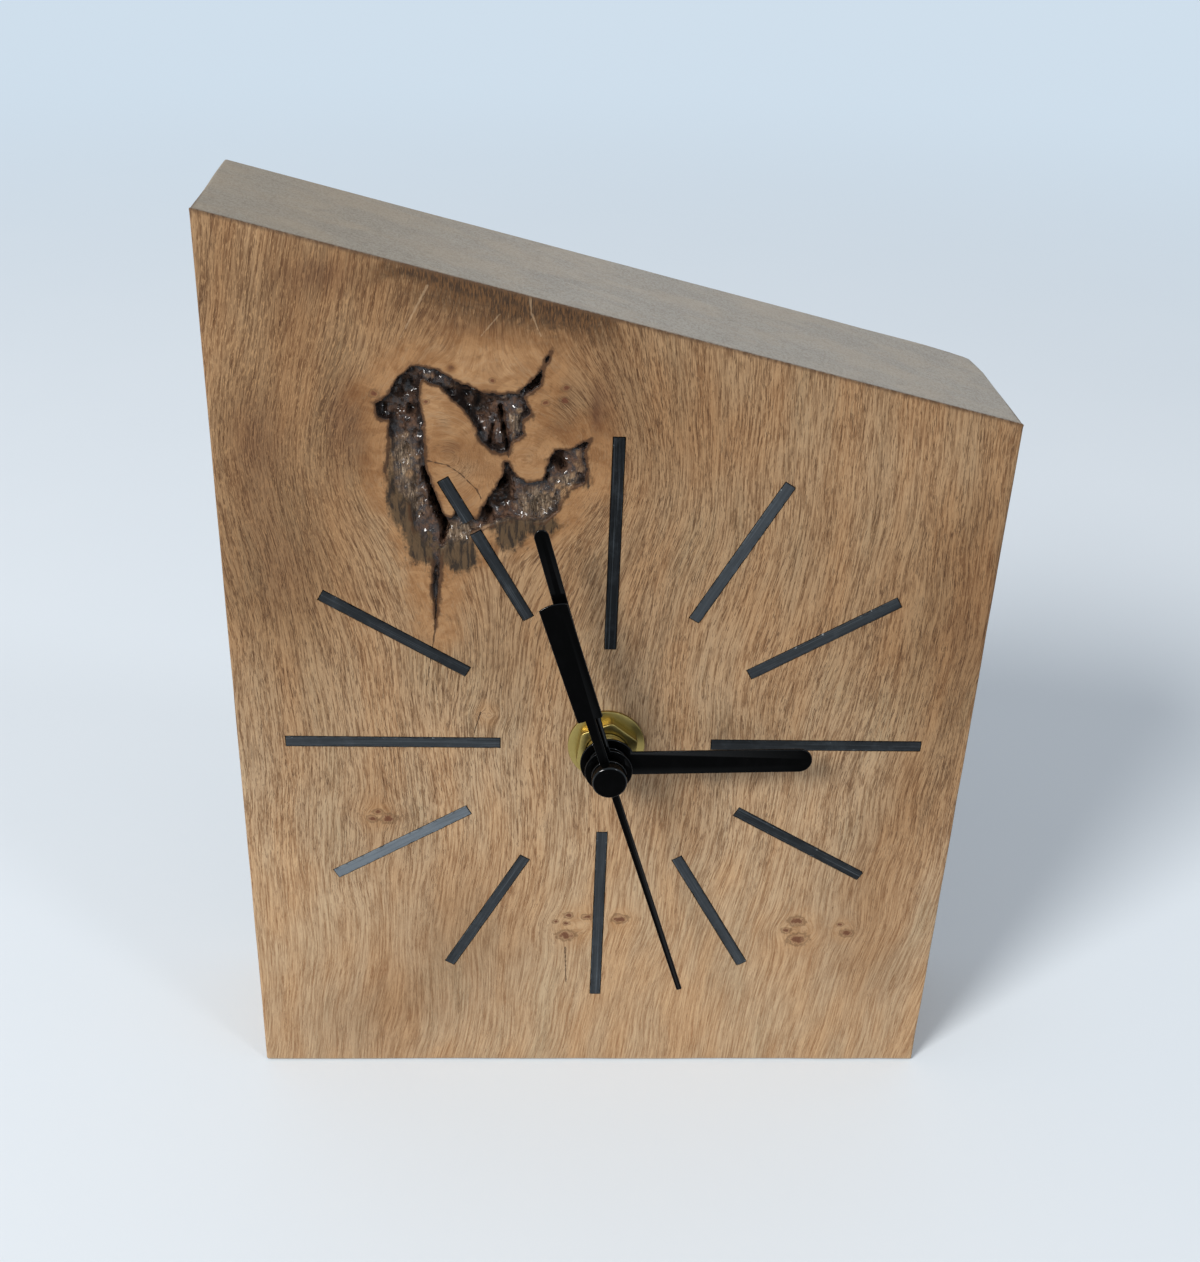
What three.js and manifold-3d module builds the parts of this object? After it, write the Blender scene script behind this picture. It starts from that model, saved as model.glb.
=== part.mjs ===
// Wooden desk clock: an oak block with a slanted top carries inlaid hour batons and a knot void,
// and a battery quartz movement sits in a pocket in its back and drives three hands.
// Millimetres, +Z up. The dial faces -Y. The origin is the centre of the block's underside.
import * as THREE from 'three';
import { mergeVertices } from 'three/addons/utils/BufferGeometryUtils.js';
import Module from 'manifold-3d';

const wasm = await Module();
wasm.setup();

// Dial and hour batons
const dialRadius = 60;
const longBaton = 40;
const shortBaton = 30;
const batonWidth = 2;
const inlayDepth = 1;
const inlayGap = 0.15;
const batonProud = 0.2;
const brokenOuterLength = 8.7;
const brokenInnerLength = 18.8;

// Oak block
const sideMargin = 9;
const lowerMargin = 18;
const cornerRise = 3.5;
const topSlope = 32.5;
const blockDepth = 38;
const edgeEase = 0.8;
const frontWall = 7;
const pocketGap = 2;
const pocketCorner = 6;
const knotDepth = 3;

// Knot void around a heart of sound wood, as shares of the dial's radius right of and above its centre
const knotShares = [
  [-0.312, 0.92], [-0.29, 0.88], [-0.258, 0.86], [-0.217, 0.867], [-0.203, 0.89],
  [-0.2, 0.933], [-0.183, 0.962], [-0.133, 0.963], [-0.083, 0.993], [-0.097, 0.943],
  [-0.085, 0.9], [-0.093, 0.863], [-0.137, 0.84], [-0.167, 0.783], [-0.207, 0.737],
  [-0.267, 0.728], [-0.31, 0.74], [-0.383, 0.717], [-0.41, 0.703], [-0.427, 0.663],
  [-0.475, 0.653], [-0.5, 0.65], [-0.527, 0.4], [-0.537, 0.533], [-0.533, 0.61],
  [-0.577, 0.65], [-0.603, 0.79], [-0.643, 0.817], [-0.662, 0.883], [-0.645, 1.037],
  [-0.68, 1.043], [-0.687, 1.087], [-0.647, 1.107], [-0.62, 1.157], [-0.573, 1.197],
  [-0.517, 1.183], [-0.457, 1.153], [-0.4, 1.128], [-0.342, 1.118], [-0.293, 1.123],
  [-0.253, 1.153], [-0.197, 1.24], [-0.227, 1.147], [-0.265, 1.11], [-0.25, 1.063],
  [-0.277, 1.037], [-0.267, 1.003], [-0.303, 0.977], [-0.313, 0.948],
];
const heartShares = [
  [-0.337, 0.948], [-0.363, 0.953], [-0.393, 0.98], [-0.405, 1.02], [-0.433, 1.067],
  [-0.47, 1.103], [-0.507, 1.138], [-0.555, 1.152], [-0.563, 1.108], [-0.55, 1.017],
  [-0.547, 0.897], [-0.52, 0.82], [-0.498, 0.757], [-0.478, 0.752], [-0.457, 0.768],
  [-0.437, 0.753], [-0.403, 0.75], [-0.38, 0.79], [-0.353, 0.843], [-0.327, 0.887],
  [-0.325, 0.922],
];

// Threaded bush, washer and nut that hold the movement
const bushRadius = 4;
const bushWall = 1.2;
const bushRise = 5.2;
const holeGap = 0.25;
const ringGap = 0.2;
const washerRadius = 7.25;
const washerThickness = 0.8;
const nutAcrossFlats = 10.8;
const nutThickness = 2.5;
const nutTurn = 8;
const gasketRadius = 16;
const gasketThickness = 1;

// Tubes and arbors on the dial's axis
const runningGap = 0.2;
const hourTubeWall = 0.65;
const minuteTubeWall = 0.95;
const secondArborRadius = 0.55;
const pressGap = 0.1;

// Hands, with heights in front of the block's face
const hourAngle = 88.4;
const hourLength = 38;
const hourWidth = 4.8;
const hourEyeRadius = 5.15;
const hourBladeRise = 6.95;
const hourBladeThickness = 0.5;
const minuteAngle = 344.1;
const minuteLength = 49.1;
const minuteWidth = 2.6;
const minuteEyeRadius = 4.4;
const minuteBladeRise = 9.9;
const minuteBladeThickness = 0.4;
const secondAngle = 162.1;
const needleLength = 51.6;
const needleRootWidth = 1.5;
const needleTipWidth = 1.1;
const neckWidth = 1.8;
const weightStart = 12.5;
const weightEnd = 35.7;
const weightBulge = 0.5;
const weightInnerWidth = 4.7;
const weightOuterWidth = 5.1;
const secondEyeRadius = 2.2;
const secondBladeRise = 12;
const secondBladeThickness = 0.4;
const collarWall = 1;
const collarTail = 1.3;
const collarFlange = 0.7;
const collarFlangeWall = 0.7;
const collarHead = 1.05;
const capRadius = 3.25;
const capRear = 0.8;
const capFront = 1.9;
const capFillet = 0.4;
const capSkin = 0.8;
const capStemWall = 0.55;

// Battery, its bay and the case of the movement
const batteryRadius = 7.15;
const batteryLength = 50.5;
const nubLength = 1.2;
const nubRadius = 2.7;
const batteryEdge = 0.5;
const bayGap = 0.35;
const batteryFloorGap = 0.2;
const contactRoom = 1.25;
const contactThickness = 0.4;
const contactWallGap = 0.1;
const contactFaceWidth = 10;
const contactFaceDepth = 10;
const contactTailWidth = 4;
const contactTailDepth = 3;
const contactLip = 6;
const contactBoardGap = 0.1;
const dimpleGap = 0.1;
const dimpleSize = 3;
const caseWall = 1.5;
const caseFloor = 1.2;
const caseCorner = 4;
const partitionWall = 1;
const coverThickness = 1.2;
const coverGap = 0.2;

// Wheel train, with distances between the arbors that mesh
const thirdDistance = 10.2;
const motionDistance = 7.5;
const trainDistance = 8.4;
const trainAngle = 60;
const wheelThickness = 0.7;
const motionThickness = 0.8;
const layerGap = 0.4;
const pinionOverhang = 0.15;
const trainRoom = 1.2;
const arborRadius = 0.5;
const pivotRadius = 0.4;
const pivotGap = 0.15;
const pivotLength = 0.6;
const postWall = 0.9;
const motionPostRadius = 0.6;
const settingArborRadius = 1.5;
const settingPivotRadius = 0.8;

// Rotor, stator, coil and electronics
const magnetRadius = 1.9;
const magnetThickness = 1.4;
const poleGap = 0.4;
const poleWall = 1.3;
const statorThickness = 0.8;
const statorBar = 3.8;
const linkWidth = 3.5;
const coreWidth = 1.6;
const bobbinLength = 23.5;
const bobbinEndGap = 1.7;
const bobbinWall = 0.6;
const bobbinFlange = 1.2;
const flangeReach = 2.6;
const windingInset = 0.3;
const windingGap = 0.1;
const plateThickness = 0.8;
const plateGap = 0.3;
const plateTopRise = 2.5;
const pillarRadius = 2;
const pillarWaist = 1.4;
const pillarInset = 3;
const pillarGap = 0.15;
const clampRadius = 1.2;
const boardThickness = 0.8;
const boardInset = 5.5;
const boardWidth = 6.3;
const chipRadius = 2.5;
const chipThickness = 0.6;
const crystalRadius = 1;
const crystalLength = 6;
const electronicsRoom = 2.5;

// Setting knob
const knobRadius = 6;
const knobThickness = 2.4;
const knobGap = 0.4;
const knobFlutes = 20;
const fluteDepth = 0.35;

// Tooth counts, tooth shape as shares of the module or of a tooth's pitch, and facets
const secondPinionTeeth = 8;
const thirdWheelTeeth = 64;
const thirdPinionTeeth = 8;
const minuteWheelTeeth = 60;
const minutePinionTeeth = 12;
const motionWheelTeeth = 36;
const motionPinionTeeth = 10;
const hourWheelTeeth = 40;
const intermediatePinionTeeth = 8;
const secondWheelTeeth = 40;
const rotorPinionTeeth = 8;
const intermediateWheelTeeth = 48;
const settingTeeth = 18;
const addendumShare = 0.8;
const dedendumShare = 1.1;
const rootHalfShare = 0.26;
const tipHalfShare = 0.11;
const overrun = 2;
const fineFacets = 24;
const plainFacets = 16;
const smallFacets = 10;
const cornerFacets = 4;

// Block outline, measured up from the underside
const dialHeight = lowerMargin + dialRadius;
const halfWidth = dialRadius + sideMargin;
const rightHeight = dialHeight + dialRadius + cornerRise;
const leftHeight = rightHeight + topSlope;
const faceY = -blockDepth / 2;
const backY = blockDepth / 2;
const pocketFloorY = faceY + frontWall;

// Layers of the movement, measured back from the inside of the case's front wall
const hourLayer = layerAfter(0, layerGap, motionThickness);
const motionLayer = layerAfter(hourLayer.back, layerGap, motionThickness);
const minuteLayer = layerAfter(motionLayer.back, layerGap, wheelThickness);
const middleLayer = layerAfter(minuteLayer.back, layerGap, plateThickness);
const thirdLayer = layerAfter(middleLayer.back, layerGap, wheelThickness);
const secondLayer = layerAfter(thirdLayer.back, layerGap, wheelThickness);
const intermediateLayer = layerAfter(secondLayer.back, layerGap, wheelThickness);
const magnetLayer = layerAfter(intermediateLayer.back, layerGap, magnetThickness);
const statorRest = (magnetThickness - statorThickness) / 2;
const statorLayer = layerAfter(magnetLayer.front, statorRest, statorThickness);
const coreLayer = layerAfter(statorLayer.back, 0, statorThickness);
const rearLayer = layerAfter(coreLayer.back, 0, plateThickness);
const boardLayer = layerAfter(rearLayer.back, 0, boardThickness);
const coverLayer = layerAfter(rearLayer.back, electronicsRoom, coverThickness);

// Places on the movement's front wall, right of and above the dial's axis
const axis = { x: 0, z: 0 };
const third = placeFrom(axis, thirdDistance, 180);
const motion = placeFrom(axis, motionDistance, 0);
const intermediate = placeFrom(axis, trainDistance, trainAngle);
const rotor = placeFrom(intermediate, trainDistance, trainAngle);

// Gears, each meshed with the one before it at rest
const thirdModule = moduleFor(thirdDistance, secondPinionTeeth, thirdWheelTeeth);
const secondPinion = gear(secondPinionTeeth, thirdModule, axis, 0);
const thirdWheel = meshed(secondPinion, thirdWheelTeeth, third);
const minuteModule = moduleFor(thirdDistance, thirdPinionTeeth, minuteWheelTeeth);
const thirdPinion = gear(thirdPinionTeeth, minuteModule, third, 0);
const minuteWheel = meshed(thirdPinion, minuteWheelTeeth, axis);
const motionModule = moduleFor(motionDistance, minutePinionTeeth, motionWheelTeeth);
const minutePinion = gear(minutePinionTeeth, motionModule, axis, 0);
const motionWheel = meshed(minutePinion, motionWheelTeeth, motion);
const hourModule = moduleFor(motionDistance, motionPinionTeeth, hourWheelTeeth);
const motionPinion = gear(motionPinionTeeth, hourModule, motion, 0);
const hourWheel = meshed(motionPinion, hourWheelTeeth, axis);
const secondModule = moduleFor(trainDistance, secondWheelTeeth, intermediatePinionTeeth);
const secondWheel = gear(secondWheelTeeth, secondModule, axis, 0);
const intermediatePinion = meshed(secondWheel, intermediatePinionTeeth, intermediate);
const rotorModule = moduleFor(trainDistance, intermediateWheelTeeth, rotorPinionTeeth);
const intermediateWheel = gear(intermediateWheelTeeth, rotorModule, intermediate, 0);
const rotorPinion = meshed(intermediateWheel, rotorPinionTeeth, rotor);
const setting = placeFrom(motion, (motionModule * (motionWheelTeeth + settingTeeth)) / 2, 0);
const settingGear = meshed(motionWheel, settingTeeth, setting);

// How far the joined parts of one wheel reach into each other
const joinReach = wheelThickness / 2;

// Radii that fit inside one another, from the bush inwards
const bushBore = bushRadius - bushWall;
const hourTubeRadius = bushBore - runningGap;
const hourTubeBore = hourTubeRadius - hourTubeWall;
const minuteTubeRadius = hourTubeBore - runningGap;
const minuteTubeBore = minuteTubeRadius - minuteTubeWall;

// Case, with its chamber around the battery bay and the train
const frontReach = caseFloor + gasketThickness + frontWall;
const trainBottom = -(tipRadius(thirdWheel) + trainRoom);
const bayTop = trainBottom - partitionWall;
const batteryZ = bayTop - bayGap - batteryRadius;
const chamberHalfHeight = bayGap + batteryRadius - batteryZ;
const chamberHalfWidth = batteryLength / 2 + contactRoom;
const chamberCorner = caseCorner - caseWall;
const caseHalfHeight = chamberHalfHeight + caseWall;
const caseHalfWidth = chamberHalfWidth + caseWall;
const pillarX = chamberHalfWidth - pillarInset;
const upperPillarZ = chamberHalfHeight - pillarInset;
const lowerPillarZ = trainBottom + pillarInset + coverGap;
const plateHalfWidth = pillarX + pillarRadius - pillarGap;
const plateBottom = trainBottom + plateGap;
const boardHalfLength = chamberHalfWidth - boardInset;

// Magnetic circuit round the rotor
const poleBore = magnetRadius + poleGap;
const poleRadius = poleBore + poleWall;
const rightLink = rotor.x + poleRadius + poleGap;
const leftLink = rightLink - bobbinLength - 2 * bobbinEndGap;
const coilX = (leftLink + rightLink) / 2;
const coilZ = rotor.z + poleRadius + flangeReach + plateGap;
const coilY = (coreLayer.front + coreLayer.back) / 2;
const clampLeft = { x: leftLink - linkWidth / 2, z: rotor.z };
const clampRight = { x: rightLink + linkWidth / 2, z: rotor.z };
const rearPlateTop = rotor.z + plateTopRise;

// The layer that lies a gap behind a plane.
function layerAfter(plane, gap, thickness) {
  return { front: plane + gap, back: plane + gap + thickness };
}

// A place at a distance and an angle, in degrees turned left from the right, from another place.
function placeFrom(place, distance, degrees) {
  const angle = THREE.MathUtils.degToRad(degrees);
  return { x: place.x + distance * Math.cos(angle), z: place.z + distance * Math.sin(angle) };
}

// A plane in front of the block's face, in the movement's frame.
function ahead(rise) {
  return -(frontReach + rise);
}

// The module of two gears that mesh at a distance.
function moduleFor(distance, teeth, otherTeeth) {
  return (2 * distance) / (teeth + otherTeeth);
}

function gear(teeth, module, place, phase) {
  return { teeth, module, place, phase };
}

// A gear that meshes with another: its gap meets the other's tooth on the line of centres.
function meshed(other, teeth, place) {
  const towards = Math.atan2(place.z - other.place.z, place.x - other.place.x);
  const lag = ((other.phase - towards) * other.teeth) / teeth;
  return gear(teeth, other.module, place, towards + Math.PI - lag + Math.PI / teeth);
}

function tipRadius(spec) {
  return spec.module * (spec.teeth / 2 + addendumShare);
}

// A closed mesh as a solid: normals and texture places go, shared vertices merge, slivers go.
function solidOf(geometry) {
  geometry.deleteAttribute('normal');
  geometry.deleteAttribute('uv');
  const merged = mergeVertices(geometry);
  const corners = merged.index.array;
  const kept = [];
  for (let i = 0; i < corners.length; i += 3) {
    const [a, b, c] = corners.slice(i, i + 3);
    if (a !== b && b !== c && c !== a) kept.push(a, b, c);
  }
  const vertProperties = merged.attributes.position.array;
  return new wasm.Manifold(new wasm.Mesh({ numProp: 3, vertProperties, triVerts: new Uint32Array(kept) }));
}

function geometryOf(solid) {
  const { vertProperties, triVerts } = solid.getMesh();
  const geometry = new THREE.BufferGeometry();
  geometry.setAttribute('position', new THREE.BufferAttribute(vertProperties, 3));
  geometry.setIndex(new THREE.BufferAttribute(triVerts, 1));
  geometry.computeVertexNormals();
  return geometry;
}

// An outline drawn as seen from the front, made solid between two planes.
function slab(shape, front, back, facets = plainFacets) {
  const options = { depth: back - front, bevelEnabled: false, curveSegments: facets / 2 };
  const geometry = new THREE.ExtrudeGeometry(shape, options);
  geometry.rotateX(Math.PI / 2);
  geometry.translate(0, back, 0);
  return solidOf(geometry);
}

// A box between two corners.
function block(x0, x1, y0, y1, z0, z1) {
  const geometry = new THREE.BoxGeometry(x1 - x0, y1 - y0, z1 - z0);
  geometry.translate((x0 + x1) / 2, (y0 + y1) / 2, (z0 + z1) / 2);
  return solidOf(geometry);
}

// A profile of radii and planes, listed from the front along its outside, turned round the Y axis.
function turned(profile, facets) {
  const points = profile.map(([radius, plane]) => new THREE.Vector2(radius, plane));
  return solidOf(new THREE.LatheGeometry(points, facets));
}

function rod(radius, front, back, facets = smallFacets) {
  return turned([[0, front], [radius, front], [radius, back], [0, back]], facets);
}

function tube(bore, radius, front, back, facets = plainFacets) {
  return turned([[bore, front], [radius, front], [radius, back], [bore, back], [bore, front]], facets);
}

function shapeOf(points) {
  return new THREE.Shape(points.map(([x, z]) => new THREE.Vector2(x, z)));
}

// A rectangle with round corners, between two corner places.
function roundedShape(x0, x1, z0, z1, corner) {
  const shape = new THREE.Shape();
  shape.absarc(x1 - corner, z1 - corner, corner, 0, Math.PI / 2);
  shape.absarc(x0 + corner, z1 - corner, corner, Math.PI / 2, Math.PI);
  shape.absarc(x0 + corner, z0 + corner, corner, Math.PI, 1.5 * Math.PI);
  shape.absarc(x1 - corner, z0 + corner, corner, 1.5 * Math.PI, 2 * Math.PI);
  shape.closePath();
  return shape;
}

function circleAt(x, z, radius) {
  const path = new THREE.Path();
  path.absarc(x, z, radius, 0, 2 * Math.PI);
  return path;
}

// The rim of a gear with straight-sided teeth, with a bore where one is given.
function toothed(spec, front, back, bore = 0) {
  const pitch = (2 * Math.PI) / spec.teeth;
  const root = spec.module * (spec.teeth / 2 - dedendumShare);
  const tip = tipRadius(spec);
  const corners = [
    [root, -rootHalfShare], [tip, -tipHalfShare], [tip, tipHalfShare], [root, rootHalfShare],
  ];
  const points = [];
  for (let tooth = 0; tooth < spec.teeth; tooth += 1) {
    for (const [radius, share] of corners) {
      const angle = spec.phase + (tooth + share) * pitch;
      points.push([radius * Math.cos(angle), radius * Math.sin(angle)]);
    }
  }
  const shape = shapeOf(points);
  if (bore > 0) shape.holes.push(circleAt(0, 0, bore));
  return slab(shape, front, back, smallFacets);
}

function paint(color, roughness, metalness) {
  return { color, roughness, metalness };
}

const oak = paint('#b08a5f', 0.65, 0);
const graphite = paint('#1d2024', 0.45, 0.1);
const blackSatin = paint('#08080a', 0.35, 0.4);
const brass = paint('#c9a45c', 0.3, 1);
const rubber = paint('#1a1a1a', 0.85, 0);
const blackPlastic = paint('#141416', 0.5, 0);
const whitePlastic = paint('#e8e6df', 0.45, 0);
const steel = paint('#b9bcc0', 0.3, 1);
const copper = paint('#b4622d', 0.35, 1);
const greenBoard = paint('#2f6b45', 0.5, 0);
const sleeve = paint('#3c4650', 0.35, 0.2);

const clock = new THREE.Group();
const works = new THREE.Group();
works.position.set(0, pocketFloorY + gasketThickness + caseFloor, dialHeight);
clock.add(works);

// Adds a solid to the works as a named mesh, at its own arbor where it has one.
function add(name, solid, look, place = axis, parent = works) {
  const mesh = new THREE.Mesh(geometryOf(solid), new THREE.MeshStandardMaterial(look));
  mesh.name = name;
  mesh.position.set(place.x, 0, place.z);
  parent.add(mesh);
  return mesh;
}

// Hour batons: each runs from an inner to an outer radius along its hour's direction.
const batons = batonTable();

function batonTable() {
  const table = [];
  for (let hour = 1; hour <= 12; hour += 1) {
    const angle = (hour * Math.PI) / 6;
    const inner = dialRadius - (hour % 3 === 0 ? longBaton : shortBaton);
    const label = `hour_baton_${String(hour).padStart(2, '0')}`;
    if (hour === 11) {
      const outerStart = dialRadius - brokenOuterLength;
      table.push({ name: `${label}_outer`, angle, inner: outerStart, outer: dialRadius });
      table.push({ name: `${label}_inner`, angle, inner, outer: inner + brokenInnerLength });
    } else {
      table.push({ name: label, angle, inner, outer: dialRadius });
    }
  }
  return table;
}

// The room of a baton in the face, grown by a gap all round.
function batonBar(baton, front, back, gap) {
  const half = batonWidth / 2 + gap;
  return block(-half, half, front, back, baton.inner - gap, baton.outer + gap);
}

function oakBlock() {
  const corners = [[-halfWidth, 0], [halfWidth, 0], [halfWidth, rightHeight], [-halfWidth, leftHeight]];
  const geometry = new THREE.ExtrudeGeometry(shapeOf(corners), {
    depth: blockDepth - 2 * edgeEase,
    bevelThickness: edgeEase,
    bevelSize: edgeEase,
    bevelOffset: -edgeEase,
    bevelSegments: 1,
  });
  geometry.rotateX(Math.PI / 2);
  geometry.translate(0, backY - edgeEase, 0);
  const pocketX = caseHalfWidth + pocketGap;
  const pocketZ = caseHalfHeight + pocketGap;
  const pocket = slab(
    roundedShape(-pocketX, pocketX, -pocketZ, pocketZ, pocketCorner),
    pocketFloorY, backY + overrun, cornerFacets,
  ).translate(0, 0, dialHeight);
  const hole = rod(bushRadius + holeGap, faceY - overrun, pocketFloorY + overrun, fineFacets)
    .translate(0, 0, dialHeight);
  let wood = solidOf(geometry).subtract(pocket).subtract(hole).subtract(knotVoid());
  for (const baton of batons) {
    const groove = batonBar(baton, faceY - overrun, faceY + inlayDepth, inlayGap);
    const degrees = THREE.MathUtils.radToDeg(baton.angle);
    wood = wood.subtract(groove.rotate(0, degrees, 0).translate(0, 0, dialHeight));
  }
  return wood;
}

// The void round the knot is open to the front, and the heart stays joined at its narrow neck.
function knotVoid() {
  const scaled = ([right, up]) => [right * dialRadius, up * dialRadius];
  const outline = shapeOf([...knotShares, ...heartShares].map(scaled));
  return slab(outline, faceY - overrun, faceY + knotDepth).translate(0, 0, dialHeight);
}

function hexShape() {
  const cornerRadius = nutAcrossFlats / 2 / Math.cos(Math.PI / 6);
  const start = Math.PI / 2 - THREE.MathUtils.degToRad(nutTurn);
  const points = [];
  for (let corner = 0; corner < 6; corner += 1) {
    const angle = start + (corner * Math.PI) / 3;
    points.push([cornerRadius * Math.cos(angle), cornerRadius * Math.sin(angle)]);
  }
  return shapeOf(points);
}

function addFixings() {
  const bore = bushRadius + ringGap;
  const nutFront = washerThickness + nutThickness;
  add('nut_washer', tube(bore, washerRadius, ahead(washerThickness), ahead(0), fineFacets), brass);
  const nut = hexShape();
  nut.holes.push(circleAt(0, 0, bore));
  add('hex_nut', slab(nut, ahead(nutFront), ahead(washerThickness), fineFacets), brass);
  add('threaded_bush', tube(bushBore, bushRadius, ahead(bushRise), -caseFloor, fineFacets), brass);
  const gasketFront = -caseFloor - gasketThickness;
  add('rubber_gasket', tube(bore, gasketRadius, gasketFront, -caseFloor, fineFacets), rubber);
}

// A straight blade with a round tip, on a round eye, pointing up.
function bladeShape(length, width, eyeRadius, bore) {
  const half = width / 2;
  const side = Math.acos(half / eyeRadius);
  const shape = new THREE.Shape();
  shape.absarc(0, 0, eyeRadius, Math.PI - side, side + 2 * Math.PI);
  shape.absarc(0, length - half, half, 0, Math.PI);
  shape.closePath();
  shape.holes.push(circleAt(0, 0, bore));
  return shape;
}

// The needle points up, and its counterweight hangs from a neck on the other side.
function secondShape() {
  const eyeEdge = (half) => Math.sqrt(secondEyeRadius ** 2 - half ** 2);
  const neck = neckWidth / 2;
  const tip = needleTipWidth / 2;
  const root = needleRootWidth / 2;
  const needleSide = Math.atan2(eyeEdge(root), root);
  const neckSide = Math.atan2(eyeEdge(neck), neck);
  const shape = new THREE.Shape();
  shape.moveTo(tip, needleLength);
  shape.lineTo(-tip, needleLength);
  shape.absarc(0, 0, secondEyeRadius, Math.PI - needleSide, Math.PI + neckSide);
  shape.lineTo(-neck, -weightStart);
  shape.lineTo(-weightInnerWidth / 2, -weightStart);
  shape.lineTo(-weightOuterWidth / 2, -weightEnd);
  shape.quadraticCurveTo(0, -weightEnd - 2 * weightBulge, weightOuterWidth / 2, -weightEnd);
  shape.lineTo(weightInnerWidth / 2, -weightStart);
  shape.lineTo(neck, -weightStart);
  shape.absarc(0, 0, secondEyeRadius, -neckSide, needleSide);
  shape.closePath();
  shape.holes.push(circleAt(0, 0, capStemRadius() + pressGap));
  return shape;
}

function capStemRadius() {
  return secondArborRadius + pressGap + capStemWall;
}

// A pressed collar: a tail towards the block, a flange that carries the blade and a head in its eye.
function collar(bore, bladeRise, headRise) {
  const wall = bore + collarWall;
  const flange = wall + collarFlangeWall;
  const flangeBack = ahead(bladeRise - collarFlange);
  return turned([
    [bore, ahead(headRise)], [wall, ahead(headRise)], [wall, ahead(bladeRise)], [flange, ahead(bladeRise)],
    [flange, flangeBack], [wall, flangeBack], [wall, ahead(bladeRise - collarTail)],
    [bore, ahead(bladeRise - collarTail)], [bore, ahead(headRise)],
  ], fineFacets);
}

function addHand(name, shape, rise, thickness, degrees) {
  const mesh = add(name, slab(shape, ahead(rise + thickness), ahead(rise), fineFacets), blackSatin);
  mesh.rotation.y = THREE.MathUtils.degToRad(degrees);
}

function addHands() {
  const hourBore = hourTubeRadius + pressGap;
  const hourEye = hourBore + collarWall + pressGap;
  const minuteBore = minuteTubeRadius + pressGap;
  const minuteEye = minuteBore + collarWall + pressGap;
  const hourShape = bladeShape(hourLength, hourWidth, hourEyeRadius, hourEye);
  const minuteShape = bladeShape(minuteLength, minuteWidth, minuteEyeRadius, minuteEye);
  addHand('hour_hand', hourShape, hourBladeRise, hourBladeThickness, hourAngle);
  add('hour_hand_collar', collar(hourBore, hourBladeRise, hourBladeRise + collarHead), blackSatin);
  addHand('minute_hand', minuteShape, minuteBladeRise, minuteBladeThickness, minuteAngle);
  add('minute_hand_collar', collar(minuteBore, minuteBladeRise, minuteBladeRise + collarHead), blackSatin);
  addHand('second_hand', secondShape(), secondBladeRise, secondBladeThickness, secondAngle);
  add('second_hand_cap', secondCap(), blackSatin);
}

// The cap: a disc in front of the second hand, a stem through its eye and a flange behind it.
function secondCap() {
  const bore = secondArborRadius + pressGap;
  const bladeFront = ahead(secondBladeRise + secondBladeThickness);
  const discBack = bladeFront - pressGap;
  const discFront = discBack - capFront;
  return turned([
    [0, discFront], [capRadius - capFillet, discFront], [capRadius, discFront + capFillet],
    [capRadius, discBack], [capStemRadius(), discBack], [capStemRadius(), ahead(secondBladeRise)],
    [capRadius, ahead(secondBladeRise)], [capRadius, ahead(secondBladeRise - capRear)],
    [bore, ahead(secondBladeRise - capRear)], [bore, discFront + capSkin], [0, discFront + capSkin],
  ], fineFacets);
}

// The case is open to the back. A partition with a notch at each end parts the battery bay from the train.
function addCase() {
  const rim = coverLayer.back;
  const outer = roundedShape(-caseHalfWidth, caseHalfWidth, -caseHalfHeight, caseHalfHeight, caseCorner);
  const inner = roundedShape(
    -chamberHalfWidth, chamberHalfWidth, -chamberHalfHeight, chamberHalfHeight, chamberCorner,
  );
  let shell = slab(outer, -caseFloor, rim, cornerFacets);
  shell = shell.subtract(slab(inner, 0, rim + overrun, cornerFacets));
  const wideX = caseHalfWidth - caseWall / 2;
  const narrowX = chamberHalfWidth - contactWallGap - 2 * contactThickness;
  const notchFront = tailFront() - contactThickness;
  shell = shell.add(block(-wideX, wideX, -caseFloor / 2, notchFront, bayTop, trainBottom));
  shell = shell.add(block(-narrowX, narrowX, -caseFloor / 2, coverLayer.front, bayTop, trainBottom));
  for (const x of [-pillarX, pillarX]) {
    shell = shell.add(lowerPillar().translate(x, 0, lowerPillarZ));
    shell = shell.add(upperPillar().translate(x, 0, upperPillarZ));
  }
  const thirdPost = pivotPost(minuteLayer.front - layerGap, arborRadius);
  const settingPost = pivotPost(motionLayer.front - layerGap, settingPivotRadius);
  const motionPost = rod(motionPostRadius, -caseFloor / 2, motionLayer.back);
  shell = shell.add(thirdPost.translate(third.x, 0, third.z));
  shell = shell.add(settingPost.translate(setting.x, 0, setting.z));
  shell = shell.add(motionPost.translate(motion.x, 0, motion.z));
  shell = shell.subtract(rod(bushBore, -caseFloor - overrun, overrun, fineFacets));
  add('movement_case', shell, blackPlastic);
}

function lowerPillar() {
  const tip = rearLayer.back - pillarGap;
  return turned([
    [0, -caseFloor / 2], [pillarRadius, -caseFloor / 2], [pillarRadius, middleLayer.front],
    [pillarWaist, middleLayer.front], [pillarWaist, rearLayer.front], [arborRadius, rearLayer.front],
    [arborRadius, tip], [0, tip],
  ], smallFacets);
}

function upperPillar() {
  return turned([
    [0, -caseFloor / 2], [pillarRadius, -caseFloor / 2], [pillarRadius, middleLayer.front],
    [pillarWaist, middleLayer.front], [pillarWaist, coverLayer.front], [0, coverLayer.front],
  ], smallFacets);
}

// A post on the case's front wall with a blind hole for a pivot.
function pivotPost(height, radius) {
  const bore = radius + pivotGap;
  const post = rod(bore + postWall, -caseFloor / 2, height);
  return post.subtract(rod(bore, 0, height + overrun));
}

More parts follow.
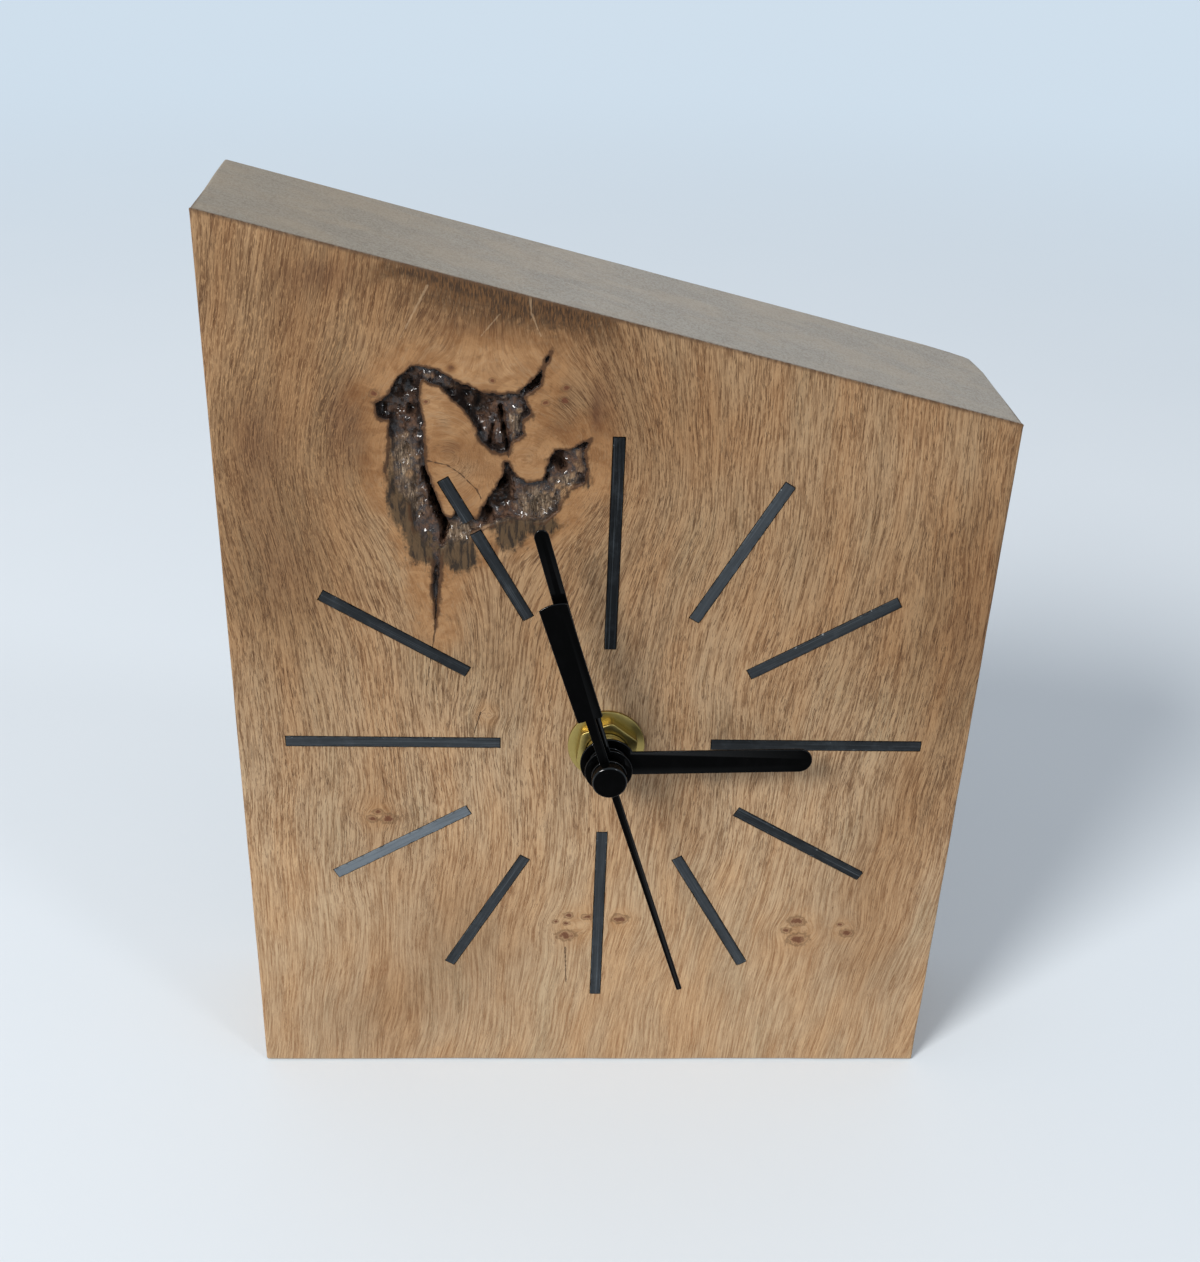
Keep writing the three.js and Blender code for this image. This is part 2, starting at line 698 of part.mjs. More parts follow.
function coverShape() {
  const side = chamberHalfWidth - coverGap;
  const bottom = (bayTop + trainBottom) / 2;
  const shape = roundedShape(-side, side, bottom, chamberHalfHeight - coverGap, chamberCorner);
  shape.holes.push(circleAt(setting.x, setting.z, settingArborRadius + runningGap));
  return shape;
}

function addCover() {
  add('movement_cover', slab(coverShape(), coverLayer.front, coverLayer.back, smallFacets), blackPlastic);
}

// Plates carry the arbors: their holes are pivot holes, or clear what passes through.
function plateWith(top, layer, holes) {
  const side = plateHalfWidth;
  const shape = shapeOf([[-side, plateBottom], [side, plateBottom], [side, top], [-side, top]]);
  for (const { place, radius } of holes) shape.holes.push(circleAt(place.x, place.z, radius));
  return slab(shape, layer.front, layer.back, smallFacets);
}

function pillarHoles(z, radius) {
  return [-pillarX, pillarX].map((x) => ({ place: { x, z }, radius: radius + pillarGap }));
}

function addPlates() {
  const pivotHole = pivotRadius + pivotGap;
  const settingHole = { place: setting, radius: settingArborRadius + runningGap };
  let middle = plateWith(upperPillarZ + pillarRadius - pillarGap, middleLayer, [
    { place: axis, radius: secondArborRadius + runningGap },
    { place: third, radius: arborRadius + runningGap },
    { place: intermediate, radius: pivotHole },
    { place: rotor, radius: pivotHole },
    settingHole,
    ...pillarHoles(lowerPillarZ, pillarWaist),
    ...pillarHoles(upperPillarZ, pillarWaist),
  ]);
  let rear = plateWith(rearPlateTop, rearLayer, [
    { place: axis, radius: pivotHole },
    { place: third, radius: pivotHole },
    { place: intermediate, radius: pivotHole },
    { place: rotor, radius: pivotHole },
    settingHole,
    ...pillarHoles(lowerPillarZ, arborRadius),
  ]);
  for (const clamp of [clampLeft, clampRight]) {
    const frontPin = rod(clampRadius, middleLayer.front, statorLayer.front);
    const rearPin = rod(clampRadius, statorLayer.back, rearLayer.back);
    middle = middle.add(frontPin.translate(clamp.x, 0, clamp.z));
    rear = rear.add(rearPin.translate(clamp.x, 0, clamp.z));
  }
  add('middle_plate', middle, whitePlastic);
  add('rear_plate', rear, whitePlastic);
}

// An arbor with a pivot at its back end, in the rear plate.
function arbor(radius, front, pivotFront = front) {
  const shoulder = rearLayer.front - pivotGap;
  return turned([
    [0, pivotFront], [pivotRadius, pivotFront], [pivotRadius, front], [radius, front], [radius, shoulder],
    [pivotRadius, shoulder], [pivotRadius, rearLayer.back - pivotGap], [0, rearLayer.back - pivotGap],
  ], smallFacets);
}

function addTrain() {
  addHourWheel();
  addMinuteWheel();
  addSecondWheel();
  addThirdWheel();
  addIntermediateWheel();
  addRotor();
  addMotionWheel();
  addSettingKnob();
}

function addHourWheel() {
  const wheel = toothed(hourWheel, hourLayer.front, hourLayer.back, hourTubeBore);
  const pipeFront = ahead(hourBladeRise + collarHead);
  const pipe = tube(hourTubeBore, hourTubeRadius, pipeFront, hourLayer.front + joinReach);
  add('hour_wheel', wheel.add(pipe), brass);
}

function addMinuteWheel() {
  const pinionFront = motionLayer.front - pinionOverhang;
  const wheel = toothed(minuteWheel, minuteLayer.front, minuteLayer.back, minuteTubeBore);
  const pinion = toothed(minutePinion, pinionFront, minuteLayer.front + joinReach, minuteTubeBore);
  const pipeFront = ahead(minuteBladeRise + collarHead);
  const pipe = tube(minuteTubeBore, minuteTubeRadius, pipeFront, pinionFront);
  const root = tube(minuteTubeBore, minutePinionRoot(), pinionFront - joinReach, pinionFront + joinReach);
  add('minute_wheel', wheel.add(pinion).add(pipe).add(root), whitePlastic);
}

function minutePinionRoot() {
  return minutePinion.module * (minutePinion.teeth / 2 - dedendumShare);
}

function addSecondWheel() {
  const front = ahead(secondBladeRise + secondBladeThickness + capFront / 2);
  const wheel = toothed(secondWheel, secondLayer.front, secondLayer.back);
  const pinion = toothed(secondPinion, thirdLayer.front - pinionOverhang, secondLayer.front + joinReach);
  const shaft = turned([
    [0, front], [secondArborRadius, front], [secondArborRadius, rearLayer.front - pivotGap],
    [pivotRadius, rearLayer.front - pivotGap], [pivotRadius, rearLayer.back - pivotGap],
    [0, rearLayer.back - pivotGap],
  ], smallFacets);
  add('second_wheel', wheel.add(pinion).add(shaft), whitePlastic);
}

function addThirdWheel() {
  const pinionFront = minuteLayer.front - pinionOverhang;
  const wheel = toothed(thirdWheel, thirdLayer.front, thirdLayer.back);
  const pinion = toothed(thirdPinion, pinionFront, minuteLayer.back + pinionOverhang);
  const shaft = arbor(arborRadius, pinionFront - pivotLength - layerGap);
  add('third_wheel', wheel.add(pinion).add(shaft), whitePlastic, third);
}

function addIntermediateWheel() {
  const wheel = toothed(intermediateWheel, intermediateLayer.front, intermediateLayer.back);
  const pinionFront = secondLayer.front - pinionOverhang;
  const pinion = toothed(intermediatePinion, pinionFront, intermediateLayer.front + joinReach);
  const shaft = arbor(arborRadius, middleLayer.back + pivotGap, middleLayer.front + pivotGap);
  add('intermediate_wheel', wheel.add(pinion).add(shaft), whitePlastic, intermediate);
}

function addRotor() {
  const pinionFront = intermediateLayer.front - pinionOverhang;
  const pinion = toothed(rotorPinion, pinionFront, intermediateLayer.back + pinionOverhang);
  const shaft = arbor(arborRadius, middleLayer.back + pivotGap, middleLayer.front + pivotGap);
  add('rotor_pinion', pinion.add(shaft), whitePlastic, rotor);
  const magnet = tube(arborRadius + pressGap, magnetRadius, magnetLayer.front, magnetLayer.back);
  add('rotor_magnet', magnet, steel, rotor);
}

function addMotionWheel() {
  const bore = motionPostRadius + pivotGap;
  const wheel = toothed(motionWheel, motionLayer.front, motionLayer.back, bore);
  const pinion = toothed(motionPinion, hourLayer.front, motionLayer.front + joinReach, bore);
  add('motion_wheel', wheel.add(pinion), whitePlastic, motion);
}

function addSettingKnob() {
  const knobFront = coverLayer.back + knobGap;
  const knobBack = knobFront + knobThickness;
  const wheel = toothed(settingGear, motionLayer.front - pinionOverhang, motionLayer.back + pinionOverhang);
  const shaft = turned([
    [0, pivotGap], [settingPivotRadius, pivotGap], [settingPivotRadius, motionLayer.front],
    [settingArborRadius, motionLayer.front], [settingArborRadius, knobBack - capSkin - pivotGap],
    [0, knobBack - capSkin - pivotGap],
  ], plainFacets);
  add('setting_arbor', wheel.add(shaft), whitePlastic, setting);
  const socket = rod(settingArborRadius + pressGap, knobFront - overrun, knobBack - capSkin, plainFacets);
  add('setting_knob', slab(knobShape(), knobFront, knobBack).subtract(socket), blackPlastic, setting);
}

// A round knob with flutes to grip.
function knobShape() {
  const points = [];
  for (let step = 0; step < 2 * knobFlutes; step += 1) {
    const radius = step % 2 === 0 ? knobRadius : knobRadius - fluteDepth;
    const angle = (step * Math.PI) / knobFlutes;
    points.push([radius * Math.cos(angle), radius * Math.sin(angle)]);
  }
  return shapeOf(points);
}

// The stator: a U with the rotor's bore in its bar, and two links that reach up to the coil's core.
function addStator() {
  const left = leftLink - linkWidth;
  const right = rightLink + linkWidth;
  const bottom = rotor.z - statorBar / 2;
  const top = coilZ + coreWidth / 2;
  const barTop = rotor.z + statorBar / 2;
  const bar = block(left, right, statorLayer.front, statorLayer.back, bottom, barTop);
  const leftArm = block(left, leftLink, statorLayer.front, statorLayer.back, bottom, top);
  const rightArm = block(rightLink, right, statorLayer.front, statorLayer.back, bottom, top);
  const pole = rod(poleRadius, statorLayer.front, statorLayer.back, plainFacets);
  const bore = rod(poleBore, statorLayer.front - overrun, statorLayer.back + overrun, plainFacets);
  const arms = bar.add(leftArm).add(rightArm).add(pole.translate(rotor.x, 0, rotor.z));
  add('stator', arms.subtract(bore.translate(rotor.x, 0, rotor.z)), steel);
  const half = coreWidth / 2;
  add('coil_core', block(left, right, coreLayer.front, coreLayer.back, coilZ - half, coilZ + half), steel);
}

// A square frame round the coil's core, between two planes across it.
function coilFrame(x0, x1, inner, outer) {
  const frame = block(
    x0, x1, coilY - outer.deep, coilY + outer.deep, coilZ - outer.high, coilZ + outer.high,
  );
  const room = block(
    x0 - overrun, x1 + overrun, coilY - inner.deep, coilY + inner.deep,
    coilZ - inner.high, coilZ + inner.high,
  );
  return frame.subtract(room);
}

function addCoil() {
  const x0 = coilX - bobbinLength / 2;
  const x1 = coilX + bobbinLength / 2;
  const bore = { deep: statorThickness / 2 + pillarGap, high: coreWidth / 2 + pillarGap };
  const barrel = { deep: bore.deep + bobbinWall, high: bore.high + bobbinWall };
  const flange = { deep: flangeReach, high: flangeReach };
  const wound = { deep: flangeReach - windingInset, high: flangeReach - windingInset };
  const start = { deep: barrel.deep + windingGap, high: barrel.high + windingGap };
  const bobbin = coilFrame(x0, x1, bore, barrel)
    .add(coilFrame(x0, x0 + bobbinFlange, bore, flange))
    .add(coilFrame(x1 - bobbinFlange, x1, bore, flange));
  add('coil_bobbin', bobbin, whitePlastic);
  const windingStart = x0 + bobbinFlange + windingGap;
  add('coil_winding', coilFrame(windingStart, x1 - bobbinFlange - windingGap, start, wound), copper);
}

function addElectronics() {
  const top = plateBottom + boardWidth;
  const { front, back } = boardLayer;
  const half = boardHalfLength;
  add('circuit_board', block(-half, half, front, back, plateBottom, top), greenBoard);
  const chipPlace = { x: -half / 3, z: plateBottom + boardWidth / 2 };
  add('timing_chip', rod(chipRadius, back, back + chipThickness, plainFacets), blackPlastic, chipPlace);
  const can = new THREE.CylinderGeometry(crystalRadius, crystalRadius, crystalLength, smallFacets);
  can.rotateZ(Math.PI / 2);
  const canGap = crystalRadius + windingGap;
  can.translate(half / 3, front + canGap, top + canGap);
  add('quartz_crystal', solidOf(can), steel);
}

// The front plane of a contact's tail, which lies over the circuit board's back.
function tailFront() {
  return boardLayer.back + contactBoardGap + contactThickness - contactTailDepth;
}

// A sprung contact at one end of the battery, with a tail up through the partition to the board.
function contact(side, reach) {
  const wallX = chamberHalfWidth - contactWallGap;
  const innerX = wallX - contactThickness;
  const centreY = batteryFloorGap + batteryRadius;
  const half = contactFaceWidth / 2;
  const lipBack = boardLayer.back + contactBoardGap + contactThickness;
  const lipTop = trainBottom + contactTailWidth;
  const lipX = wallX - contactLip;
  const faceFront = centreY - contactFaceDepth / 2;
  const face = block(innerX, wallX, faceFront, lipBack, batteryZ - half, batteryZ + half);
  const tail = block(innerX, wallX, tailFront(), lipBack, batteryZ + half - contactThickness, lipTop);
  const lip = block(lipX, wallX, lipBack - contactThickness, lipBack, trainBottom + plateGap, lipTop);
  const dimple = dimpleSize / 2;
  const tongue = block(
    reach + dimpleGap, wallX, centreY - dimple, centreY + dimple,
    batteryZ - dimple, batteryZ + dimple,
  );
  const strip = face.add(tail).add(lip).add(tongue);
  return side > 0 ? strip : strip.mirror([1, 0, 0]);
}

function addContacts() {
  const endReach = batteryLength / 2;
  add('contact_negative', contact(1, endReach), steel);
  add('contact_positive', contact(-1, endReach), steel);
}

// A single cell lying along X, with its raised end on the left.
function addBattery() {
  const end = batteryLength / 2;
  const shoulder = end - nubLength;
  const edge = batteryRadius - batteryEdge;
  const cell = turned([
    [0, -end], [nubRadius, -end], [nubRadius, -shoulder], [edge, -shoulder],
    [batteryRadius, -shoulder + batteryEdge], [batteryRadius, end - batteryEdge], [edge, end], [0, end],
  ], fineFacets).rotate(0, 0, -90);
  add('battery', cell.translate(0, batteryFloorGap + batteryRadius, batteryZ), sleeve);
}

add('oak_block', oakBlock(), oak, axis, clock);
for (const baton of batons) {
  const bar = batonBar(baton, faceY - batonProud, faceY + inlayDepth, 0);
  const mesh = add(baton.name, bar, graphite, { x: 0, z: dialHeight }, clock);
  mesh.rotation.y = baton.angle;
}
addFixings();
addHands();
addCase();
addCover();
addPlates();
addTrain();
addStator();
addCoil();
addElectronics();
addContacts();
addBattery();

export default clock;
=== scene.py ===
"""Wooden desk clock: the oak block with its knot, inlaid batons, hands, brass fixings and quartz movement."""
import math

import bpy
import numpy as np
from bpy.props import FloatProperty, FloatVectorProperty, PointerProperty
from mathutils import Matrix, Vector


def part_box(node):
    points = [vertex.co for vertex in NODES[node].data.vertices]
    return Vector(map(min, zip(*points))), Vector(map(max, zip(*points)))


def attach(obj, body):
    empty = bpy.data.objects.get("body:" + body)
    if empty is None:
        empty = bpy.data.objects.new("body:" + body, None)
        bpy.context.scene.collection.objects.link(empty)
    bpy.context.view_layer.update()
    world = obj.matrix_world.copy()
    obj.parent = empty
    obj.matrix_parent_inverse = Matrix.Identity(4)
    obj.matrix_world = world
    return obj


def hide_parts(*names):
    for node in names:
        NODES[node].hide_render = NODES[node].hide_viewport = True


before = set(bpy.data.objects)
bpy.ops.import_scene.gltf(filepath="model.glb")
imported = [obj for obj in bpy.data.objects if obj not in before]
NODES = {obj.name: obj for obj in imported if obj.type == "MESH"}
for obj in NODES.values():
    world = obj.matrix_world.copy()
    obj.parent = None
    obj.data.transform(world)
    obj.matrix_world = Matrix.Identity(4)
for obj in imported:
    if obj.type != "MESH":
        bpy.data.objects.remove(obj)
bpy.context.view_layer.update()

bl_info = {
    "name": "Wooden desk clock",
    "version": (1, 0, 0),
    "blender": (4, 5, 0),
    "location": "3D View > Sidebar > Clock",
    "description": "Builds the looks of a wooden desk clock on its packed frame",
    "category": "Add Mesh",
}

MM = 0.001
BOARD_LOW, BOARD_HIGH = (np.array(corner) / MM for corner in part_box("oak_block"))
HALF_WIDTH, LEFT_HEIGHT = BOARD_HIGH[0], BOARD_HIGH[2]
FACE_Y, BACK_Y = BOARD_LOW[1], BOARD_HIGH[1]
TOP_DROP = 32.5
DIAL_HEIGHT, DIAL_RADIUS = 78.0, 60.0
AXIS = (0.0, DIAL_HEIGHT)
POCKET_Y, POCKET_HALF, POCKET_Z, POCKET_CORNER = -12.0, 30.0, (48.0, 108.0), 6.0
HOLE_RADIUS = 4.25
GROOVE_DEPTH, GROOVE_HALF, GROOVE_GAP = 1.0, 1.15, 0.15
# How far the cutting shapes stand out of what they cut.
CLEAR = 2.0
# The part of the face that the void can reach: left, right, foot. Within it, the span of the finest cells.
KNOT_AREA = (-56, 8, 86)
FINE_ACROSS, FINE_UP = (-42.4, -4.2), (116.0, 165.6)
COARSE_CELL, BACK_CELL, DEPTH_CELL = 1.7, 1.5, 4.8
# A distance to the void that counts as far from it.
FAR = 30.0

# The void's outline, as shares of the dial's radius right of and above its centre: the outer line, and then the line
# round the sound heart, which a narrow bridge joins to the wood outside.
VOID_SHARES = [
    (-0.312, 0.92), (-0.29, 0.88), (-0.258, 0.86), (-0.217, 0.867), (-0.203, 0.89), (-0.2, 0.933),
    (-0.183, 0.962), (-0.133, 0.963), (-0.083, 0.993), (-0.097, 0.943), (-0.085, 0.9), (-0.093, 0.863),
    (-0.137, 0.84), (-0.167, 0.783), (-0.207, 0.737), (-0.267, 0.728), (-0.31, 0.74), (-0.383, 0.717),
    (-0.41, 0.703), (-0.427, 0.663), (-0.475, 0.653), (-0.5, 0.65), (-0.527, 0.4), (-0.537, 0.533),
    (-0.533, 0.61), (-0.577, 0.65), (-0.603, 0.79), (-0.643, 0.817), (-0.662, 0.883), (-0.645, 1.037),
    (-0.68, 1.043), (-0.687, 1.087), (-0.647, 1.107), (-0.62, 1.157), (-0.573, 1.197), (-0.517, 1.183),
    (-0.457, 1.153), (-0.4, 1.128), (-0.342, 1.118), (-0.293, 1.123), (-0.253, 1.153), (-0.197, 1.24),
    (-0.227, 1.147), (-0.265, 1.11), (-0.25, 1.063), (-0.277, 1.037), (-0.267, 1.003), (-0.303, 0.977),
    (-0.313, 0.948),
]
HEART_SHARES = [
    (-0.337, 0.948), (-0.363, 0.953), (-0.393, 0.98), (-0.405, 1.02), (-0.433, 1.067), (-0.47, 1.103),
    (-0.507, 1.138), (-0.555, 1.152), (-0.563, 1.108), (-0.55, 1.017), (-0.547, 0.897), (-0.52, 0.82),
    (-0.498, 0.757), (-0.478, 0.752), (-0.457, 0.768), (-0.437, 0.753), (-0.403, 0.75), (-0.38, 0.79),
    (-0.353, 0.843), (-0.327, 0.887), (-0.325, 0.922),
]
# Deep places of the void: right, up, reach and extra depth, in millimetres.
DEEP_PLACES = [
    (-36.6, 145.3, 2.4, 2.2), (-37.6, 141.2, 1.5, 1.6), (-40.0, 142.2, 0.8, 1.8), (-35.0, 141.6, 0.8, 2.4),
    (-24.4, 142.6, 2.2, 3.0), (-26.2, 144.4, 1.2, 1.8), (-15.0, 147.3, 0.9, 2.2), (-20.7, 129.0, 1.9, 4.2),
    (-19.4, 125.6, 1.4, 3.0), (-22.3, 123.4, 0.8, 2.6), (-11.4, 133.8, 1.3, 2.4), (-9.6, 132.4, 0.9, 1.8),
]
# Clefts in the void's floor: start right and up, end right and up, reach and extra depth.
CLEFT_LINES = [
    ((-33.0, 131.4), (-31.7, 126.4), 0.45, 2.4), ((-31.7, 126.4), (-29.7, 121.0), 0.6, 3.6),
    ((-29.7, 121.0), (-30.4, 117.8), 0.4, 2.2), ((-20.2, 142.4), (-19.6, 138.4), 0.35, 2.0),
    ((-19.6, 138.4), (-18.9, 135.4), 0.3, 1.8), ((-21.4, 139.2), (-22.0, 136.2), 0.3, 1.2),
]
# Dark stain in the sound wood round the void: right, up, reach across and along, strength.
STAIN_PLACES = [
    (-34.2, 119.5, 2.2, 5.0, 1.0), (-27.2, 115.6, 3.2, 2.8, 1.2), (-18.6, 119.6, 2.4, 3.0, 0.95),
    (-31.2, 108.5, 0.9, 7.5, 0.3), (-37.4, 125.0, 2.2, 4.6, 0.85), (-12.8, 121.9, 3.4, 2.2, 0.85),
    (-5.6, 130.2, 1.2, 2.0, 0.6), (-14.6, 141.6, 1.2, 2.2, 0.35), (-30.9, 111.5, 0.7, 5.0, 0.2),
]
# Outer borders of the void that slope gently instead of breaking off: right, up, reach across and along, strength.
GENTLE_PLACES = [
    (-38.0, 126.5, 3.0, 5.0, 1.0), (-34.0, 117.5, 3.4, 4.0, 1.0), (-27.0, 117.6, 5.0, 1.8, 1.0),
    (-17.0, 121.6, 6.0, 1.8, 1.0), (-8.5, 127.6, 2.0, 2.0, 0.7), (-39.2, 133.5, 1.2, 3.0, 0.6),
]
# Places in the void with grey weathered fibre, by the same five numbers.
FIBRE_PLACES = [
    (-36.6, 133.5, 2.6, 5.0, 0.9), (-35.4, 125.0, 2.6, 4.5, 0.75), (-13.0, 125.8, 5.0, 3.4, 1.0),
    (-17.4, 140.2, 2.0, 2.4, 0.8), (-27.0, 120.0, 3.0, 2.6, 1.0), (-8.4, 130.2, 2.6, 1.6, 0.7),
    (-28.6, 146.2, 2.0, 1.0, 0.5), (-36.4, 146.2, 1.6, 2.0, 0.3), (-14.6, 146.8, 0.8, 1.4, 0.5),
]
# Darkness of the face, mostly the wood's own darker places and partly painted shade, such as the painted shadow below
# the hub at (5, 62): right, up, reach across and along, strength, paler below nought.
SHADE_PLACES = [
    (-36.0, 158.0, 10.0, 6.0, 0.16), (-49.0, 164.5, 7.0, 3.6, 0.3), (-54.0, 157.0, 4.4, 7.0, 0.15),
    (-62.0, 137.0, 6.0, 11.0, 0.26), (-8.6, 144.0, 5.0, 6.0, 0.2), (-66.0, 164.0, 5.0, 10.0, 0.14),
    (-46.5, 140.0, 4.2, 12.0, 0.3), (0.5, 142.0, 4.0, 10.0, 0.14), (10.0, 142.0, 9.0, 12.0, 0.1),
    (-28.4, 149.4, 0.8, 0.8, 0.5), (-28.0, 135.6, 6.0, 2.0, 0.24), (-4.0, 142.0, 1.1, 5.0, 0.28),
    (-30.5, 143.0, 3.0, 3.0, -0.1), (-10.5, 139.0, 3.0, 2.0, 0.14), (-43.0, 137.0, 2.0, 9.0, 0.1),
    (-2.5, 148.0, 2.4, 9.0, 0.14), (-56.0, 142.0, 9.0, 22.0, 0.1), (66.0, 95.0, 12.0, 34.0, 0.27),
    (-60.0, 112.0, 12.0, 16.0, 0.28), (52.0, 134.0, 20.0, 9.0, -0.06), (-20.0, 95.0, 16.0, 10.0, 0.08),
    (-45.0, 60.0, 12.0, 16.0, 0.16), (-26.0, 34.0, 14.0, 16.0, 0.3), (54.0, 42.0, 12.0, 24.0, 0.26),
    (62.0, 66.0, 8.0, 12.0, 0.12), (17.0, 58.0, 10.0, 10.0, 0.1), (-46.0, 11.0, 14.0, 12.0, 0.22),
    (-38.0, 18.0, 9.0, 9.0, 0.12), (58.7, 24.0, 6.0, 7.0, 0.12), (5.0, 62.0, 14.0, 14.0, 0.05),
    (-23.0, 150.0, 7.0, 2.6, -0.12), (-23.6, 156.5, 9.0, 3.0, 0.16), (45.0, 95.0, 14.0, 14.0, 0.08),
    (-58.0, 82.0, 12.0, 14.0, 0.08),
]
# Fine cracks, and below them pale scratches: start right and up, end right and up, half width.
CHECK_LINES = [
    ((-20.1, 142.0), (-18.75, 134.2), 0.16), ((-32.6, 133.3), (-29.2, 132.6), 0.1),
    ((-29.2, 132.6), (-27.1, 131.2), 0.1), ((-27.1, 131.2), (-24.2, 128.3), 0.1),
    ((-24.2, 128.3), (-23.4, 126.6), 0.1), ((-30.9, 117.0), (-31.8, 101.0), 0.2),
    ((-31.8, 101.0), (-33.5, 90.0), 0.13), ((-6.5, 30.0), (-6.1, 21.0), 0.12), ((-23.6, 84.5), (-24.8, 80.2), 0.12),
]
SCRATCH_LINES = [
    ((-32.0, 162.8), (-36.6, 154.2), 0.2), ((-15.5, 161.2), (-15.2, 158.6), 0.2),
    ((-15.2, 158.6), (-13.6, 155.0), 0.16), ((-20.4, 158.4), (-23.6, 154.6), 0.13),
]
# Pin knots: right, up, radius.
PIN_KNOTS = [
    (-6.4, 33.0, 1.6), (-6.0, 38.0, 0.9), (-6.4, 36.0, 0.6), (-8.6, 36.5, 0.6), (-2.3, 37.6, 0.9), (4.3, 37.2, 1.4),
    (40.5, 36.8, 1.5), (41.0, 32.2, 1.9), (38.4, 34.4, 0.9), (49.4, 36.0, 0.6), (51.0, 33.8, 1.2),
    (-44.6, 60.8, 0.95), (-43.4, 62.4, 0.8), (-41.4, 60.9, 1.4), (-9.2, 146.4, 0.75), (-9.4, 144.2, 0.8),
    (-12.6, 143.8, 0.65), (-41.2, 144.8, 0.8), (-21.6, 147.4, 0.5), (-32.6, 143.6, 0.5), (-33.4, 139.6, 0.5),
]
# Pale burr figure round the pin knots and places where the grain turns round one: right, up, reach.
BURR_PLACES = [
    (-43.5, 61.8, 3.2), (-4.5, 35.5, 5.0), (4.2, 37.0, 2.6), (41.2, 34.4, 5.2), (50.4, 34.6, 3.0), (-22.5, 84.0, 2.6),
]
# The main knot: right, up, reach of its bent grain at the face and at the back, and the still core.
KNOT = {"place": (-22.5, 0, 134.0), "reach": (19.0, 7.0), "core": 9.0}

# Hour batons: name, angle from twelve o'clock, inner and outer end from the axis.
BATONS = [(f"hour_baton_{hour:02d}", 30.0 * hour, DIAL_RADIUS - (40.0 if hour % 3 == 0 else 30.0), DIAL_RADIUS)
          for hour in range(1, 13) if hour != 11]
BATONS += [("hour_baton_11_outer", 330.0, 51.3, 60.0), ("hour_baton_11_inner", 330.0, 30.0, 48.8)]
BATON_HALF, BATON_PROUD = 1.08, 0.2
# How far each strip is painted pale with a sheen that stands for the window's reflection, by the end of its name; the
# rest get a faint painted sheen.
BATON_PAINTED_SHEEN = {"08": 0.85, "01": 0.24, "06": 0.16, "05": 0.2, "07": 0.14, "02": 0.12, "12": 0.0, "09": 0.16}
FAINT_PAINTED_SHEEN = 0.06

# Fixings: the washer's front and middle are rises in front of the face, the nut's and bush's ends are planes.
WASHER = {"bore": 4.2, "radius": 7.25, "front": 0.8, "middle": 0.4, "ease": 0.18}
NUT = {"across": 10.8, "front": FACE_Y - 3.3, "back": FACE_Y - 0.8, "chamfer": 0.22, "bore": 4.05, "turn": 8.0,
       "limit": 1.12}
BUSH = {"radius": 4.0, "bore": 2.8, "front": FACE_Y - 5.2, "back": -9.8, "pitch": 0.75, "depth": 0.2}

# Blades: piece, node, body, length, width, eye's radius, bore, rise in front of the face, thickness, angle.
BLADES = [
    ("hour_blade", "hour_hand", "hour_body", 38.0, 4.8, 5.15, 3.8, 6.95, 0.5, 88.4),
    ("minute_blade", "minute_hand", "minute_body", 49.1, 2.6, 4.4, 2.95, 9.9, 0.4, 344.1),
]
# The second hand, and its counterweight's start, end, inner and outer width and bulge.
NEEDLE = {"length": 51.6, "root": 1.5, "tip": 1.1, "eye": 2.2, "neck": 1.8, "weight": (12.5, 35.7, 4.7, 5.1, 0.5)}
# Its bore, rise, thickness and angle.
NEEDLE_FIT = (1.3, 12.0, 0.4, 162.1)
# Collars: piece, node, body, bore and rise of the blade; then the wall, flange and planes that both have.
COLLARS = [
    ("hour_collar", "hour_hand_collar", "hour_body", 2.7, 6.95),
    ("minute_collar", "minute_hand_collar", "minute_body", 1.85, 9.9),
]
COLLAR = {"wall": 1.0, "flange": 1.7, "head": 1.05, "step": 0.7, "tail": 1.3, "ease": 0.16}
# The cap's section: radius and rise.
CAP_SECTION = [(0, 14.4), (3.0, 14.4), (3.25, 14.1), (3.25, 12.5), (1.2, 12.5), (1.2, 12.0), (3.25, 12.0),
               (3.25, 11.2), (0.65, 11.2), (0.65, 13.6), (0, 13.6)]

# One turn of the coil's wire.
WIRE_PITCH = 0.22

# The movement's case, from the front wall at floor to the open rim at the back.
CASE = {"x": 28.0, "z": (50.0, 106.0), "floor": -11.0, "inside": -9.8, "rim": 5.0, "wall": 1.5, "corner": 4.0}
# The partition over the battery bay: its faces, how far it sinks into the walls and the floor, and its narrower part
# behind the step.
BAY_TOP, PARTITION_TOP = 66.35, 67.35
SINK_SIDE, SINK_FLOOR = 0.7, 0.4
STEP_Y, STEP_HALF, STEP_OVERLAP = -3.0, 25.6, 0.2
# Ribs on the bay's floor: places, half thickness and rise.
BAY_RIBS, RIB_HALF, RIB_RISE = (-17.0, 0.0, 17.0), 0.5, 0.12
COVER = {"y": (3.8, 5.0), "x": 26.3, "z": (66.85, 104.3), "corner": 2.5, "ease": 0.3}
# Cuts in the cover: radius of the arbor's hole, radius and depth of the sunk disc, and the finger groove's sides,
# corner and depth.
ARBOR_HOLE, DISC_RADIUS, DISC_DEPTH = 1.7, 8.2, 0.25
FINGER_GROOVE, FINGER_DEPTH = (-9.0, 9.0, 69.0, 70.6, 0.8), 0.5
KNOB = {"place": (15.94, DIAL_HEIGHT), "radius": 6.0, "front": 5.4, "back": 7.8, "bore": 1.62, "flutes": 20,
        "flute": 0.35}
CELL = {"y": -2.45, "z": 58.85, "end": 25.25}
